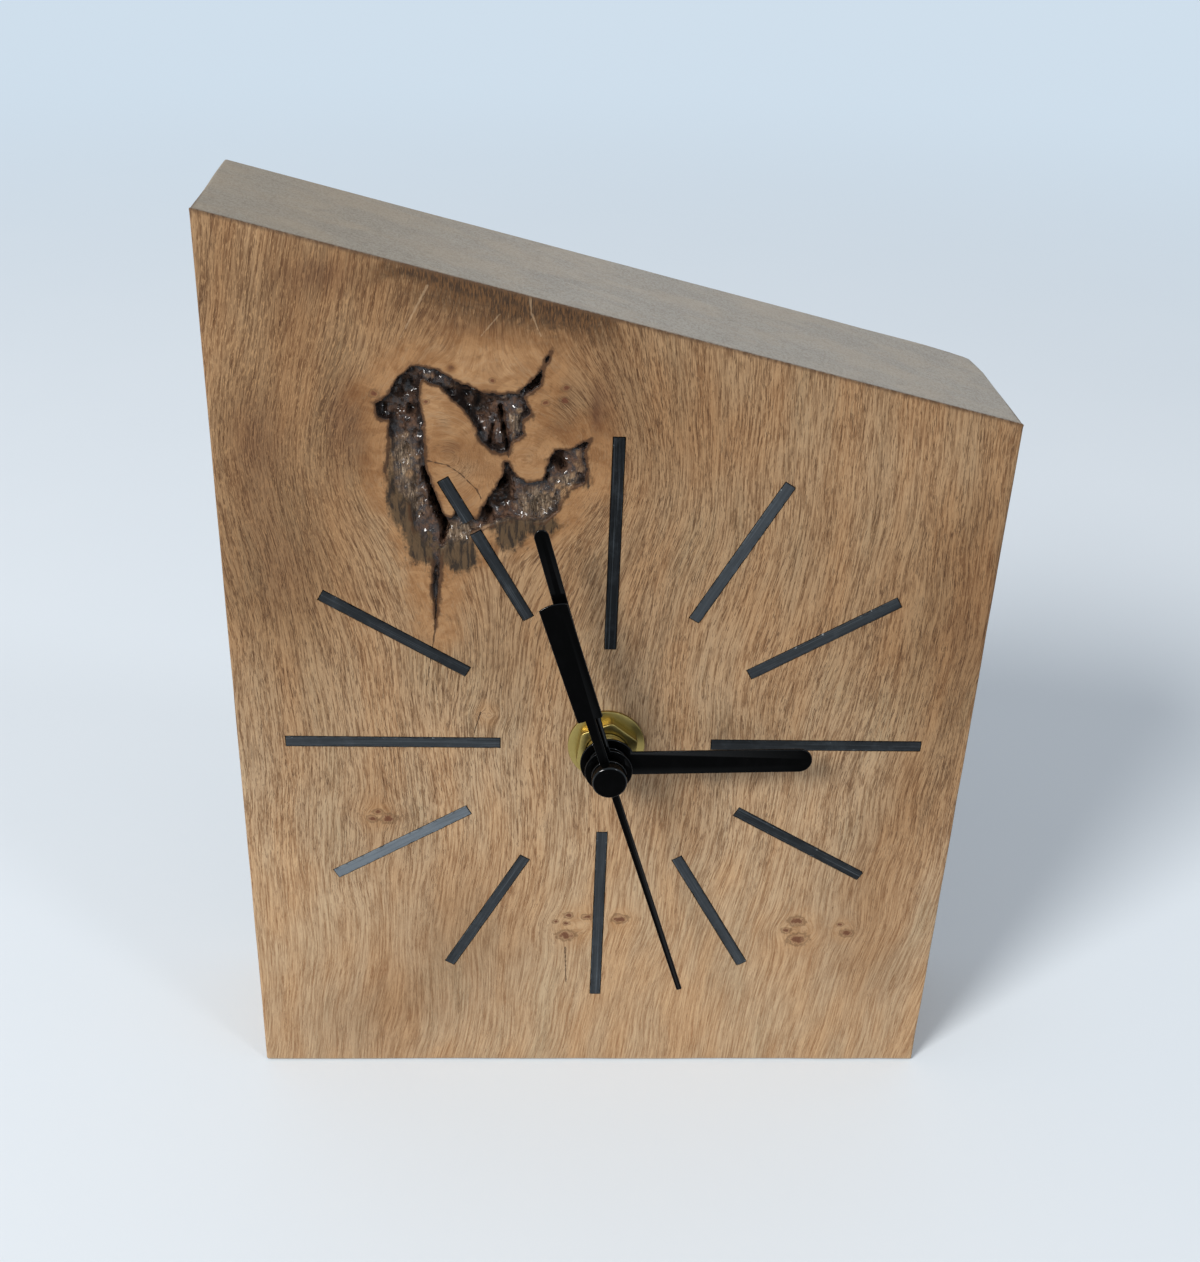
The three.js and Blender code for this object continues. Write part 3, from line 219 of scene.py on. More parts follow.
# The cell's section: radius, end, and distance from that end towards +X.
CELL_SECTION = [
    (0, "raised", 0), (2.7, "raised", 0), (2.7, "raised", 1.2), (4.6, "raised", 1.2), (4.9, "raised", 1.45),
    (5.6, "raised", 1.45), (5.9, "raised", 1.2), (6.7, "raised", 1.2), (7.15, "raised", 1.7), (7.15, "flat", -0.5),
    (6.7, "flat", 0), (5.2, "flat", 0), (4.9, "flat", -0.25), (0, "flat", -0.25),
]

# The camera, in metres, degrees and picture elements, and the floor and the light's target in metres.
CAMERA_PLACE = (-0.01882, -0.28933, 0.23461)
CAMERA_YAW, CAMERA_PITCH, CAMERA_ROLL = 3.135, 32.09, 2.078
FOCAL_PIXELS, LONG_SIDE, SHORT_SIDE, SENSOR = 1656.3, 1262.0, 1200.0, 36.0
CENTRE_PIXEL = (582.6, 802.6)
FLOOR_RADIUS, FLOOR_HEIGHT = 3.0, -0.0002
LIGHT_TARGET = (0, 0, 0.09)
# Steps in one turn of the large and the small round shapes.
LONG_TURN, SHORT_TURN = 96, 64


def linear(red, green, blue):
    """A colour written as it looks on a screen, from 0 to 255, as the linear colour that the shaders take."""
    shares = np.array([red, green, blue]) / 255.0
    return tuple(np.where(shares <= 0.04045, shares / 12.92, ((shares + 0.055) / 1.055) ** 2.4))


# Fixed tones that the settings don't hold, as they look on a screen.
TONES = {name: linear(*shade) for name, shade in {
    "low deep": (142, 101, 66), "low band": (190, 161, 128), "low pore": (132, 84, 48), "thread": (188, 159, 124),
    "fleck": (206, 174, 134), "tick dark": (46, 29, 13), "tick pale": (92, 62, 33), "stain pale": (76, 58, 37),
    "stain dark": (25, 18, 10), "rim": (66, 40, 17), "pin heart": (88, 47, 26), "check": (64, 40, 22),
    "bark pale": (104, 76, 58), "fibre dark": (74, 58, 43), "fibre pale": (172, 152, 126), "painted glint": (190, 180, 166),
    "hollow": (20, 12, 9), "void border": (26, 14, 9), "void depth shade": (16, 11, 9), "saw mark": (140, 134, 128),
    "end cloud": (182, 168, 150), "torn edge": (84, 60, 39), "painted edge glint": (176, 182, 184), "dust": (8, 9, 10),
    "tarnish": (146, 118, 62), "worn enamel": (9, 9, 10), "copper pale": (204, 122, 74), "painted wire gap shade": (70, 26, 14),
    "board pale": (58, 128, 84), "track": (120, 176, 120), "magnet": (120, 122, 126), "resin": (20, 20, 22),
    "cell line": (210, 208, 200), "cell steel": (196, 196, 194), "cell scuff": (150, 150, 150),
    "floor pale": (217, 225, 232), "room": (236, 240, 246),
}.items()}


def colour_prop(name, description, shade):
    """A colour setting whose default is written as it looks on a screen."""
    return FloatVectorProperty(name=name, description=description, subtype="COLOR", size=3,
                               default=linear(*shade), min=0.0, max=1.0)


def length_prop(name, description, millimetres):
    """A length setting, kept in metres, whose default is given in millimetres."""
    return FloatProperty(name=name, description=description, default=millimetres * MM,
                         min=0.0, unit="LENGTH", subtype="DISTANCE")


class OakSettings(bpy.types.PropertyGroup):
    """Sizes and colours of the oak block."""

    pale: colour_prop("Pale oak", "Lightest fibres of the face", (176, 149, 117))
    warm: colour_prop("Warm oak", "Middle tone of the face", (137, 107, 77))
    deep: colour_prop("Deep oak", "Darkest bands of the face", (96, 69, 43))
    pore: colour_prop("Pores", "Open pores and checks", (94, 61, 36))
    heart: colour_prop("Heart", "Sound wood round and inside the knot", (184, 144, 101))
    figure: colour_prop("Figure", "Darker figure of the knot's sound wood", (154, 111, 68))
    bark: colour_prop("Bark", "Dark bark and resin inside the void", (50, 31, 19))
    fibre: colour_prop("Weathered fibre", "Grey fibre inside the void", (122, 101, 80))
    # The end grain's grey is partly its own colour and partly painted cool light from above.
    end_grain: colour_prop("End grain", "Sawn end at the top", (171, 166, 157))
    ease: length_prop("Edge easing", "Radius of the block's edges", 0.55)
    fine_cell: length_prop("Knot cell", "Cell size of the surface round the knot", 0.27)


class BatonSettings(bpy.types.PropertyGroup):
    """Sizes and colours of the hour batons."""

    shade: colour_prop("Baton", "Dyed strip", (11, 13, 15))
    # Colour of the fine lengthwise lines, and of the painted sheen that stands for the window's reflection.
    sheen_and_scratch: colour_prop("Scratch and painted sheen", "Fine lengthwise lines", (108, 116, 123))
    ease: length_prop("Edge easing", "Radius of the strip's edges", 0.12)


class MetalSettings(bpy.types.PropertyGroup):
    """Colours of the hands, the fixings and the works."""

    black: colour_prop("Hand enamel", "Satin black of the hands", (3, 3, 3))
    brass: colour_prop("Brass", "Washer, nut and bush", (166, 147, 88))
    steel: colour_prop("Nickelled steel", "Contacts and stator", (186, 188, 190))
    copper: colour_prop("Copper wire", "Coil winding", (178, 92, 52))
    plate_ease: length_prop("Blade edge", "Rounding of the blades' edges", 0.12)


class PlasticSettings(bpy.types.PropertyGroup):
    """Colours of the movement's plastics and the battery."""

    case: colour_prop("Case", "Moulded movement case", (26, 27, 29))
    gear: colour_prop("Wheels", "Moulded wheels and plates", (226, 222, 210))
    board: colour_prop("Board", "Circuit board", (38, 96, 62))
    rubber: colour_prop("Rubber", "Gasket", (24, 24, 24))
    sleeve: colour_prop("Cell sleeve", "Battery sleeve", (44, 58, 74))
    band: colour_prop("Cell band", "Band at the battery's raised end", (176, 128, 72))


class StageSettings(bpy.types.PropertyGroup):
    """Floor, backdrop and light."""

    floor: colour_prop("Floor", "Plain pale floor", (224, 231, 237))
    backdrop: colour_prop("Backdrop", "Plain pale background", (199, 214, 227))
    key: FloatProperty(name="Window light", description="Power of the large soft light", default=90.0, unit="POWER")
    fill: FloatProperty(name="Fill", description="Strength of the even light all round", default=0.54, min=0.0)


def lattice(column, row, seed):
    """A fixed share from 0 to 1 for each whole lattice place: the place's bits multiplied and folded."""
    mixed = (column * 374761393 + row * 668265263 + seed * 144269504) & 0xFFFFFFFF
    mixed = ((mixed ^ (mixed >> 13)) * 1274126177) & 0xFFFFFFFF
    return ((mixed ^ (mixed >> 16)) & 0xFFFF) / 65535.0


def noise(x, z, seed):
    """Smooth noise from -1 to 1: lattice shares blended by 3t^2 - 2t^3 along both directions."""
    column, row = np.floor(x).astype(np.int64), np.floor(z).astype(np.int64)
    across, along = x - column, z - row
    across, along = across * across * (3 - 2 * across), along * along * (3 - 2 * along)
    low = lattice(column, row, seed) * (1 - across) + lattice(column + 1, row, seed) * across
    high = lattice(column, row + 1, seed) * (1 - across) + lattice(column + 1, row + 1, seed) * across
    return 2 * (low * (1 - along) + high * along) - 1


def layered(x, z, seed, layers=3):
    """Noise with each layer twice as fine and half as strong as the one before it."""
    return sum(noise(x * 2 ** k, z * 2 ** k, seed + k) / 2 ** k for k in range(layers))


def smooth(low, high, value):
    """0 below low, 1 above high, and 3t^2 - 2t^3 between them."""
    share = np.clip((value - low) / (high - low), 0, 1)
    return share * share * (3 - 2 * share)


def grid_faces(rows, columns, start=0):
    """Quads between rows of points numbered row by row, the last column joined to the first."""
    row, column = np.meshgrid(np.arange(rows - 1), np.arange(columns), indexing="ij")
    ahead = (column + 1) % columns
    quads = np.stack([row * columns + column, row * columns + ahead, (row + 1) * columns + ahead,
                      (row + 1) * columns + column], axis=-1)
    return quads.reshape(-1, 4) + start


def ahead(rise):
    """A plane in front of the block's face."""
    return FACE_Y - rise


def new_mesh(name, points, faces):
    """A mesh from points in millimetres and faces of any number of corners."""
    mesh = bpy.data.meshes.new(name)
    mesh.from_pydata(np.asarray(points, float) * MM, [], [tuple(int(i) for i in face) for face in faces])
    return mesh


def link_object(name, data):
    """A new object at the origin, in the scene's own collection."""
    thing = bpy.data.objects.new(name, data)
    bpy.context.scene.collection.objects.link(thing)
    return thing


def make_piece(name, points, faces, material, body, slot, nodes, sharp=40.0):
    """A piece in place of CAD nodes, smooth but for edges that turn more than sharp degrees."""
    mesh = new_mesh(name, points, faces)
    mesh.update()
    mesh.polygons.foreach_set("use_smooth", np.ones(len(mesh.polygons), bool))
    mesh.set_sharp_from_angle(angle=math.radians(sharp))
    piece = link_object(name, mesh)
    mesh.materials.append(material)
    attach(piece, body)
    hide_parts(*nodes)
    return piece


def mark(mesh, name, values):
    """Keeps one number per point, for a material to read."""
    layer = mesh.attributes.new(name, "FLOAT", "POINT")
    layer.data.foreach_set("value", values.astype(np.float32))


def whole_turn(steps):
    """Angles of one turn, the last a step short of the first."""
    return 2 * np.pi * np.arange(steps) / steps


def circle(centre, radius):
    """A round outline, counterclockwise as seen from the front."""
    angle = whole_turn(SHORT_TURN)
    return np.stack([centre[0] + radius * np.cos(angle), centre[1] + radius * np.sin(angle)], axis=-1)


def turned_rows(centre, rows, angle):
    """Points of rows (plane, one radius or one for each angle) round a line along Y: x = r sin a, z = r cos a."""
    return np.concatenate([np.stack([centre[0] + r * np.sin(angle), np.full(len(angle), y),
                                     centre[1] + r * np.cos(angle)], axis=-1) for y, r in rows])


def outline_rows(rows):
    """Points of rows (plane, outline), one outline after the other."""
    return np.concatenate([np.stack([line[:, 0], np.full(len(line), y), line[:, 1]], axis=-1) for y, line in rows])


def closing_faces(row, columns):
    """Quads from one row that goes round to the first row."""
    start = row * columns
    return [(start + k, start + (k + 1) % columns, (k + 1) % columns, k) for k in range(columns)]


def tube_faces(rows, columns):
    """Quads of rows that go round, and from the last row back to the first."""
    return [tuple(face) for face in grid_faces(rows, columns)] + closing_faces(rows - 1, columns)


def capped_faces(rows, columns):
    """Quads of outlines that go round, turned outwards, and a flat over the first and over the last."""
    last = (rows - 1) * columns
    sides = [tuple(face[::-1]) for face in grid_faces(rows, columns)]
    return sides + [tuple(range(columns)), tuple(range(last + columns - 1, last - 1, -1))]


def joined(parts):
    """Several (points, faces) as one, with the face numbers moved on."""
    points, faces, start = [], [], 0
    for part_points, part_faces in parts:
        points.append(np.asarray(part_points, float))
        faces += [tuple(int(i) + start for i in face) for face in part_faces]
        start += len(part_points)
    return np.concatenate(points), faces


def lathe(profile, centre):
    """A profile of (radius, y) turned round the line through centre along Y: x = r sin a, z = r cos a.
    Where the profile starts or ends at radius 0 the ring is one pole point."""
    profile = np.asarray(profile, float)
    closed = np.allclose(profile[0], profile[-1])
    rings = profile[:-1] if closed else profile
    inner = rings[rings[:, 0] > 1e-9]
    points = turned_rows(centre, [(y, radius) for radius, y in inner], whole_turn(LONG_TURN))
    if closed:
        return points, tube_faces(len(inner), LONG_TURN)
    faces = [tuple(face) for face in grid_faces(len(inner), LONG_TURN)]
    for end, first, turn in ((rings[0], 0, 1), (rings[-1], (len(inner) - 1) * LONG_TURN, -1)):
        if end[0] < 1e-9:
            pole = len(points)
            points = np.vstack([points, [centre[0], end[1], centre[1]]])
            ring = [(pole, first + (k + 1) % LONG_TURN, first + k) for k in range(LONG_TURN)]
            faces += [face[::turn] for face in ring]
    return points, faces


def eased(profile, radius, steps=3):
    """A profile whose corners are cut by short arcs: each corner becomes points on the quadratic through it."""
    profile = np.asarray(profile, float)
    out = [profile[0]]
    for before, corner, after in zip(profile[:-2], profile[1:-1], profile[2:]):
        reach = min(radius, 0.45 * np.linalg.norm(before - corner), 0.45 * np.linalg.norm(after - corner))
        start = corner + (before - corner) / np.linalg.norm(before - corner) * reach
        end = corner + (after - corner) / np.linalg.norm(after - corner) * reach
        for t in np.linspace(0, 1, steps + 1):
            out.append((1 - t) ** 2 * start + 2 * t * (1 - t) * corner + t * t * end)
    out.append(profile[-1])
    return np.array(out)


def rounded_box(low, high, ease, cuts=(2, 2, 2), steps=3):
    """Six grids that share their borders. A surface point p keeps its direction from the nearest point q of the
    box shrunk by ease, and lies at q + ease (p - q) / |p - q|."""
    low, high = np.asarray(low, float), np.asarray(high, float)
    edge = ease * np.linspace(0, 1, steps + 1)
    lines = [np.concatenate([low[k] + edge, np.linspace(low[k] + ease, high[k] - ease, cuts[k] + 1)[1:-1],
                             high[k] - edge[::-1]]) for k in range(3)]
    return box_grids(lines, lambda p: np.full(len(p), ease))


def spaced(line, rim, least):
    """Numbers of the cell borders from rim to the same place at the other end, at least a given distance apart."""
    kept = [rim]
    for number in range(rim + 1, len(line) - rim - 1):
        if line[number] - line[kept[-1]] >= least and line[len(line) - rim - 1] - line[number] >= least:
            kept.append(number)
    return kept + [len(line) - rim - 1]


def thinned(side, rim, rows, columns):
    """Faces of a flat side with every cell in its rim, and within it only the cells between the kept borders; a
    face that meets the rim takes every point there."""
    row, column = np.meshgrid(np.arange(side.shape[0] - 1), np.arange(side.shape[1] - 1), indexing="ij")
    outside = (row < rim) | (column < rim) | (row >= side.shape[0] - 1 - rim) | (column >= side.shape[1] - 1 - rim)
    quads = np.stack([side[:-1, :-1], side[1:, :-1], side[1:, 1:], side[:-1, 1:]], axis=-1)[outside]
    faces = quads.tolist()
    for a, (r0, r1) in enumerate(zip(rows[:-1], rows[1:])):
        for b, (c0, c1) in enumerate(zip(columns[:-1], columns[1:])):
            low = side[r0:r1 + 1, c0][:: 1 if b == 0 else r1 - r0]
            right = side[r1, c0:c1 + 1][:: 1 if a == len(rows) - 2 else c1 - c0]
            high = side[r0:r1 + 1, c1][:: 1 if b == len(columns) - 2 else r1 - r0][::-1]
            left = side[r0, c0:c1 + 1][:: 1 if a == 0 else c1 - c0][::-1]
            faces.append([*low[:-1], *right[:-1], *high[:-1], *left[:-1]])
    return faces


def box_grids(lines, ease_at, back_cell=None):
    """The rounded box for three lists of cell borders, with an easing radius that may vary over the surface."""
    sizes = [len(line) for line in lines]
    i, j, k = np.meshgrid(*[np.arange(size) for size in sizes], indexing="ij")
    on_skin = (i == 0) | (j == 0) | (k == 0) | (i == sizes[0] - 1) | (j == sizes[1] - 1) | (k == sizes[2] - 1)
    number = np.full(sizes, -1)
    number[on_skin] = np.arange(on_skin.sum())
    sharp = np.stack([lines[0][i[on_skin]], lines[1][j[on_skin]], lines[2][k[on_skin]]], axis=-1)
    low, high = np.array([line[0] for line in lines]), np.array([line[-1] for line in lines])
    ease = ease_at(sharp)[:, None]
    core = np.clip(sharp, low + ease, high - ease)
    away = sharp - core
    length = np.linalg.norm(away, axis=1, keepdims=True)
    points = core + away / np.maximum(length, 1e-12) * np.where(length > 1e-12, ease, 0)
    sides = ((number[0], -1), (number[-1], 1), (number[:, 0], 1), (number[:, -1], -1),
             (number[:, :, 0], -1), (number[:, :, -1], 1))
    quads = []
    for side, turn in sides:
        quad = np.stack([side[:-1, :-1], side[1:, :-1], side[1:, 1:], side[:-1, 1:]], axis=-1).reshape(-1, 4)
        quads.append(quad[:, ::turn])
    if not back_cell:
        return points, np.concatenate(quads)
    del quads[3]
    rim = 8
    back = thinned(number[:, -1], rim, spaced(lines[0], rim, back_cell), spaced(lines[2], rim, back_cell))
    faces = np.concatenate(quads).tolist() + [face[::-1] for face in back]
    used, flat = np.unique(np.concatenate(faces), return_inverse=True)
    splits = np.cumsum([len(face) for face in faces])[:-1]
    return points[used], np.split(flat, splits)


def turn_to(points, degrees):
    """Points drawn for twelve o'clock, turned clockwise round the dial's axis: x cos a + z sin a, z cos a - x sin a."""
    angle = math.radians(degrees)
    points = np.asarray(points, float)
    across, along = points[:, 0], points[:, 2]
    return np.stack([AXIS[0] + across * math.cos(angle) + along * math.sin(angle), points[:, 1],
                     AXIS[1] - across * math.sin(angle) + along * math.cos(angle)], axis=-1)


def new_material(name, roughness, metallic=0.0, **sockets):
    """A material with one Principled shader, and its nodes for colour, roughness and relief to be added."""
    material = bpy.data.materials.new(name)
    material.use_nodes = True
    shader = material.node_tree.nodes["Principled BSDF"]
    shader.inputs["Metallic"].default_value = metallic
    shader.inputs["Roughness"].default_value = roughness
    for socket, value in sockets.items():
        shader.inputs[socket.replace("_", " ")].default_value = value
    return material, Wiring(material.node_tree), shader


class Wiring:
    """Short calls that add nodes to a tree and join them. A socket or a plain value may stand for any input."""

    def __init__(self, tree):
        """Keeps the tree that the nodes go into."""
        self.tree = tree

    def feed(self, socket, value):
        """Joins a socket to another or gives it a plain value; three shares of a colour get full cover."""
        if isinstance(value, bpy.types.NodeSocket):
            self.tree.links.new(value, socket)
        elif socket.type == "RGBA" and len(value) == 3:
            socket.default_value = (*value, 1.0)
        else:
            socket.default_value = value

    def node(self, kind, out=0, inputs=(), **settings):
        """Adds a node with its settings and inputs, and gives one of its outputs."""
        node = self.tree.nodes.new(kind)
        for key, value in settings.items():
            setattr(node, key, value)
        for key, value in dict(inputs).items():
            self.feed(node.inputs[key], value)
        return node.outputs[out]

    def outputs(self, kind, *inputs):
        """Adds a node with its first inputs, and gives all its outputs."""
        node = self.tree.nodes.new(kind)
        for socket, value in zip(node.inputs, inputs):
            self.feed(socket, value)
        return node.outputs

    def math(self, operation, a, b=0.0, c=0.0):
        """One operation on up to three numbers."""
        return self.node("ShaderNodeMath", inputs={0: a, 1: b, 2: c}, operation=operation)

    def times(self, a, b):
        """a b."""
        return self.math("MULTIPLY", a, b)

    def times_plus(self, a, b, c):
        """a b + c."""
        return self.math("MULTIPLY_ADD", a, b, c)

    def less(self, value, share, mask):
        """A value that loses a share of itself where a mask is 1: value (1 - share mask)."""
        return self.times(value, self.times_plus(mask, -share, 1.0))

    def sway(self, noise, strength, value):
        """A value that noise moves up and down: (noise - 1/2) strength + value."""
        return self.times_plus(self.math("SUBTRACT", noise, 0.5), strength, value)

    def ramp(self, value, low, high, start=0.0, end=1.0):
        """From start at low to end at high by 3t^2 - 2t^3, and level beyond them."""
        return self.node("ShaderNodeMapRange", inputs={
            "Value": value, "From Min": low, "From Max": high, "To Min": start, "To Max": end},
            interpolation_type="SMOOTHSTEP")

    def mix(self, share, a, b, blend="MIX"):
        """Colour a, with colour b laid over it by a share."""
        return self.node("ShaderNodeMix", out=2, inputs={0: share, 6: a, 7: b}, data_type="RGBA",
                         blend_type=blend, clamp_factor=True)

    def layers(self, colour, *coats):
        """A colour with others laid over it in turn, each given by its share, itself and how it blends."""
        for share, *tone in coats:
            colour = self.mix(share, colour, *tone)
        return colour

    def blend(self, share, a, b):
        """a (1 - share) + b share, for numbers."""
        return self.node("ShaderNodeMix", inputs={0: share, 2: a, 3: b}, data_type="FLOAT")

    def attribute(self, name):
        """A number that the mesh keeps for each point."""
        return self.node("ShaderNodeAttribute", out=2, attribute_name=name)

    def vector(self, operation, a, b=(0.0, 0.0, 0.0), out=0):
        """One operation on two vectors; output 1 holds those that give a number."""
        return self.node("ShaderNodeVectorMath", out=out, inputs={0: a, 1: b}, operation=operation)

    def scaled(self, vector, share):
        """A vector times one number."""
        return self.node("ShaderNodeVectorMath", inputs={0: vector, 3: share}, operation="SCALE")

    def stretched(self, vector, scale):
        """A vector times another, axis by axis."""
        return self.vector("MULTIPLY", vector, scale)

    def place(self):
        """Object coordinates in millimetres."""
        return self.scaled(self.node("ShaderNodeTexCoord", out=3), 1 / MM)

    def noise(self, vector, scale, detail, roughness=0.55, distortion=0.0):
        """Layered noise round 1/2, with a number of waves per millimetre along each axis."""
        return self.node("ShaderNodeTexNoise", inputs={
            "Vector": self.stretched(vector, scale), "Scale": 1.0, "Detail": detail,
            "Roughness": roughness, "Distortion": distortion})

    def bump(self, height, depth, strength):
        """The normal of a surface whose height is given, a height of 1 being depth millimetres."""
        return self.node("ShaderNodeBump", inputs={"Height": height, "Distance": depth * MM, "Strength": strength})

    def seen(self):
        """1 for rays from the camera and their reflections, 0 for rays that only bring light."""
        rays = self.outputs("ShaderNodeLightPath")
        mirrored = self.math("MAXIMUM", rays["Is Glossy Ray"], rays["Is Transmission Ray"])
        return self.math("MAXIMUM", rays["Is Camera Ray"], mirrored)

    def group(self, tree, **inputs):
        """Adds a node group, and gives its outputs."""
        node = self.tree.nodes.new("ShaderNodeGroup")
        node.node_tree = tree
        for key, value in inputs.items():
            self.feed(node.inputs[key.replace("_", " ")], value)
        return node.outputs

    def surface(self, shader, **sockets):
        """Feeds a shader's sockets."""
        for key, value in sockets.items():
            self.feed(shader.inputs[key.replace("_", " ")], value)


def new_group(name, inputs, outputs):
    """An empty shader node group with its sockets, its wiring, and its input and output nodes."""
    tree = bpy.data.node_groups.new(name, "ShaderNodeTree")
    kinds = {"float": "NodeSocketFloat", "vector": "NodeSocketVector"}
    for side, sockets in (("INPUT", inputs), ("OUTPUT", outputs)):
        for label, kind in sockets:
            tree.interface.new_socket(name=label, in_out=side, socket_type=kinds[kind])
    return tree, Wiring(tree), tree.nodes.new("NodeGroupInput").outputs, tree.nodes.new("NodeGroupOutput").inputs


def bend_group():
    """Grain that parts round a knot: a point at r from the knot's centre moves across by -R^2 x / (r^2 + c^2) and
    along by R^2 z / (r^2 + c^2), as lines of flow do round a post; r counts heights 1.35 times."""
    tree, w, given, result = new_group("Grain bend", [
        ("Place", "vector"), ("Centre", "vector"), ("Reach", "float"), ("Core", "float")], [("Shift", "vector")])
    flat = w.stretched(w.vector("SUBTRACT", given["Place"], given["Centre"]), (1, 0, 1))
    reach = w.times(given["Reach"], given["Reach"])
    tall = w.stretched(flat, (1, 0, 1.35))
    square = w.vector("DOT_PRODUCT", tall, tall, 1)
    share = w.math("DIVIDE", reach, w.times_plus(given["Core"], given["Core"], square))
    w.feed(result["Shift"], w.stretched(w.scaled(flat, share), (-1, 0, 1)))
    return tree


def pin_group():
    """A pin knot: its dark heart and its ring, on a distance whose outline a noise makes uneven."""
    tree, w, given, result = new_group("Pin knot", [
        ("Place", "vector"), ("Centre", "vector"), ("Radius", "float")], [("Heart", "float"), ("Ring", "float")])
    flat = w.vector("SUBTRACT", given["Place"], given["Centre"])
    rough = w.noise(given["Place"], (1.1, 0, 1.1), detail=3)
    reach = w.vector("LENGTH", w.stretched(flat, (0.8, 0, 1.15)), out=1)
    share = w.sway(rough, 1.5, w.math("DIVIDE", reach, given["Radius"]))
    w.feed(result["Heart"], w.ramp(share, 0.3, 0.85, 1, 0))
    w.feed(result["Ring"], w.times(w.ramp(share, 0.62, 0.86), w.ramp(share, 0.9, 1.25, 1, 0)))
    return tree


def fibre_group():
    """Straight-grained wood on coordinates across, through and along the grain: streaks, fine pale threads, broad
    bands, short flecks, and open pores that crowd in some bands."""
    tree, w, given, result = new_group("Oak fibre", [("Grain", "vector"), ("Pore Density", "float")], [
        ("Streak", "float"), ("Thread", "float"), ("Band", "float"), ("Pore", "float"), ("Fleck", "float")])
    grain = given["Grain"]
    w.feed(result["Streak"], w.noise(grain, (2.4, 2.4, 0.11), detail=3, roughness=0.72))
    w.feed(result["Thread"], w.ramp(w.noise(grain, (6.6, 6.6, 0.19), detail=2, roughness=0.6), 0.5, 0.68))
    w.feed(result["Band"], w.noise(grain, (0.26, 0.26, 0.02), detail=3, roughness=0.6))
    w.feed(result["Fleck"], w.ramp(w.noise(grain, (4.4, 4.4, 0.8), detail=2, roughness=0.65), 0.51, 0.66))
    dashes = w.noise(grain, (6.4, 6.4, 0.52), detail=2, roughness=0.5)
    crowd = w.noise(grain, (0.35, 0.35, 0.04), detail=2)
    limit = w.math("SUBTRACT", w.ramp(crowd, 0.3, 0.7, 0.65, 0.56), given["Pore Density"])
    w.feed(result["Pore"], w.ramp(w.math("SUBTRACT", dashes, limit), 0.0, 0.09))
    return tree


def line_group():
    """A crack or scratch: the distance from a point to the straight piece between two places, less the width and
    made uneven by noise, and thinner towards the second place."""
    tree, w, given, result = new_group("Check line", [
        ("Place", "vector"), ("Start", "vector"), ("End", "vector"), ("Width", "float")], [("Line", "float")])
    flat = w.vector("SUBTRACT", w.stretched(given["Place"], (1, 0, 1)), given["Start"])
    run = w.vector("SUBTRACT", given["End"], given["Start"])
    share = w.math("DIVIDE", w.vector("DOT_PRODUCT", flat, run, 1), w.vector("DOT_PRODUCT", run, run, 1))
    share = w.node("ShaderNodeClamp", inputs={0: share})
    away = w.vector("DISTANCE", flat, w.scaled(run, share), 1)
    rough = w.noise(given["Place"], (1.6, 0, 0.9), detail=3)
    away = w.math("DIVIDE", w.sway(rough, 0.55, away), w.less(given["Width"], 0.5, share))
    w.feed(result["Line"], w.ramp(away, 0.35, 1.5, 1, 0))
    return tree


def wear_group():
    """Even fine grain with a few faint spots, for moulded and coated surfaces."""
    tree, w, given, result = new_group("Fine surface", [
        ("Place", "vector"), ("Grain Size", "float")], [("Grain", "float"), ("Spot", "float")])
    fine = w.scaled(given["Place"], w.math("DIVIDE", 1.0, given["Grain Size"]))
    w.feed(result["Grain"], w.node("ShaderNodeTexNoise", inputs={"Vector": fine, "Scale": 1.0, "Detail": 2.0}))
    w.feed(result["Spot"], w.ramp(w.noise(given["Place"], (0.35, 0.35, 0.35), detail=4, roughness=0.7), 0.45, 0.8))
    return tree


def groups():
    """The shared node groups, built once."""
    makers = {"Grain bend": bend_group, "Pin knot": pin_group, "Oak fibre": fibre_group, "Check line": line_group,
              "Fine surface": wear_group}
    return {name: bpy.data.node_groups.get(name) or maker() for name, maker in makers.items()}


def grain_place(w, place, axes):
    """Coordinates across, through and along the grain: the place, moved by slow noise, leant by 6.5 exp(-z / 34) at the
    foot, and bent round the main knot and, near the face, round each burr."""
    bend = groups()["Grain bend"]
    slow = w.node("ShaderNodeTexNoise", out=1, inputs={
        "Vector": w.stretched(place, (1 / 24.0, 1 / 24.0, 1 / 42.0)), "Scale": 1.0, "Detail": 1.5})
    slow = w.stretched(w.vector("SUBTRACT", slow, (0.5, 0.5, 0.5)), (9.0, 3.0, 0.0))
    lean = w.times(w.math("EXPONENT", w.times(axes["Z"], -1 / 34.0)), 6.5)
    grain = w.vector("ADD", w.vector("ADD", place, slow), w.node("ShaderNodeCombineXYZ", inputs={"X": lean}))
    shifts = [w.group(bend, Place=place, Centre=KNOT["place"], Reach=w.ramp(axes["Y"], FACE_Y, BACK_Y, *KNOT["reach"]),
                      Core=KNOT["core"])]
    shifts += [w.group(bend, Place=place, Centre=(right, 0, up), Core=reach * 0.45,
                       Reach=w.ramp(axes["Y"], FACE_Y + 2.0, FACE_Y + 12.0, reach * 0.62, 0.0))
               for right, up, reach in BURR_PLACES]
    for shift in shifts:
        grain = w.vector("ADD", grain, shift["Shift"])
    return grain


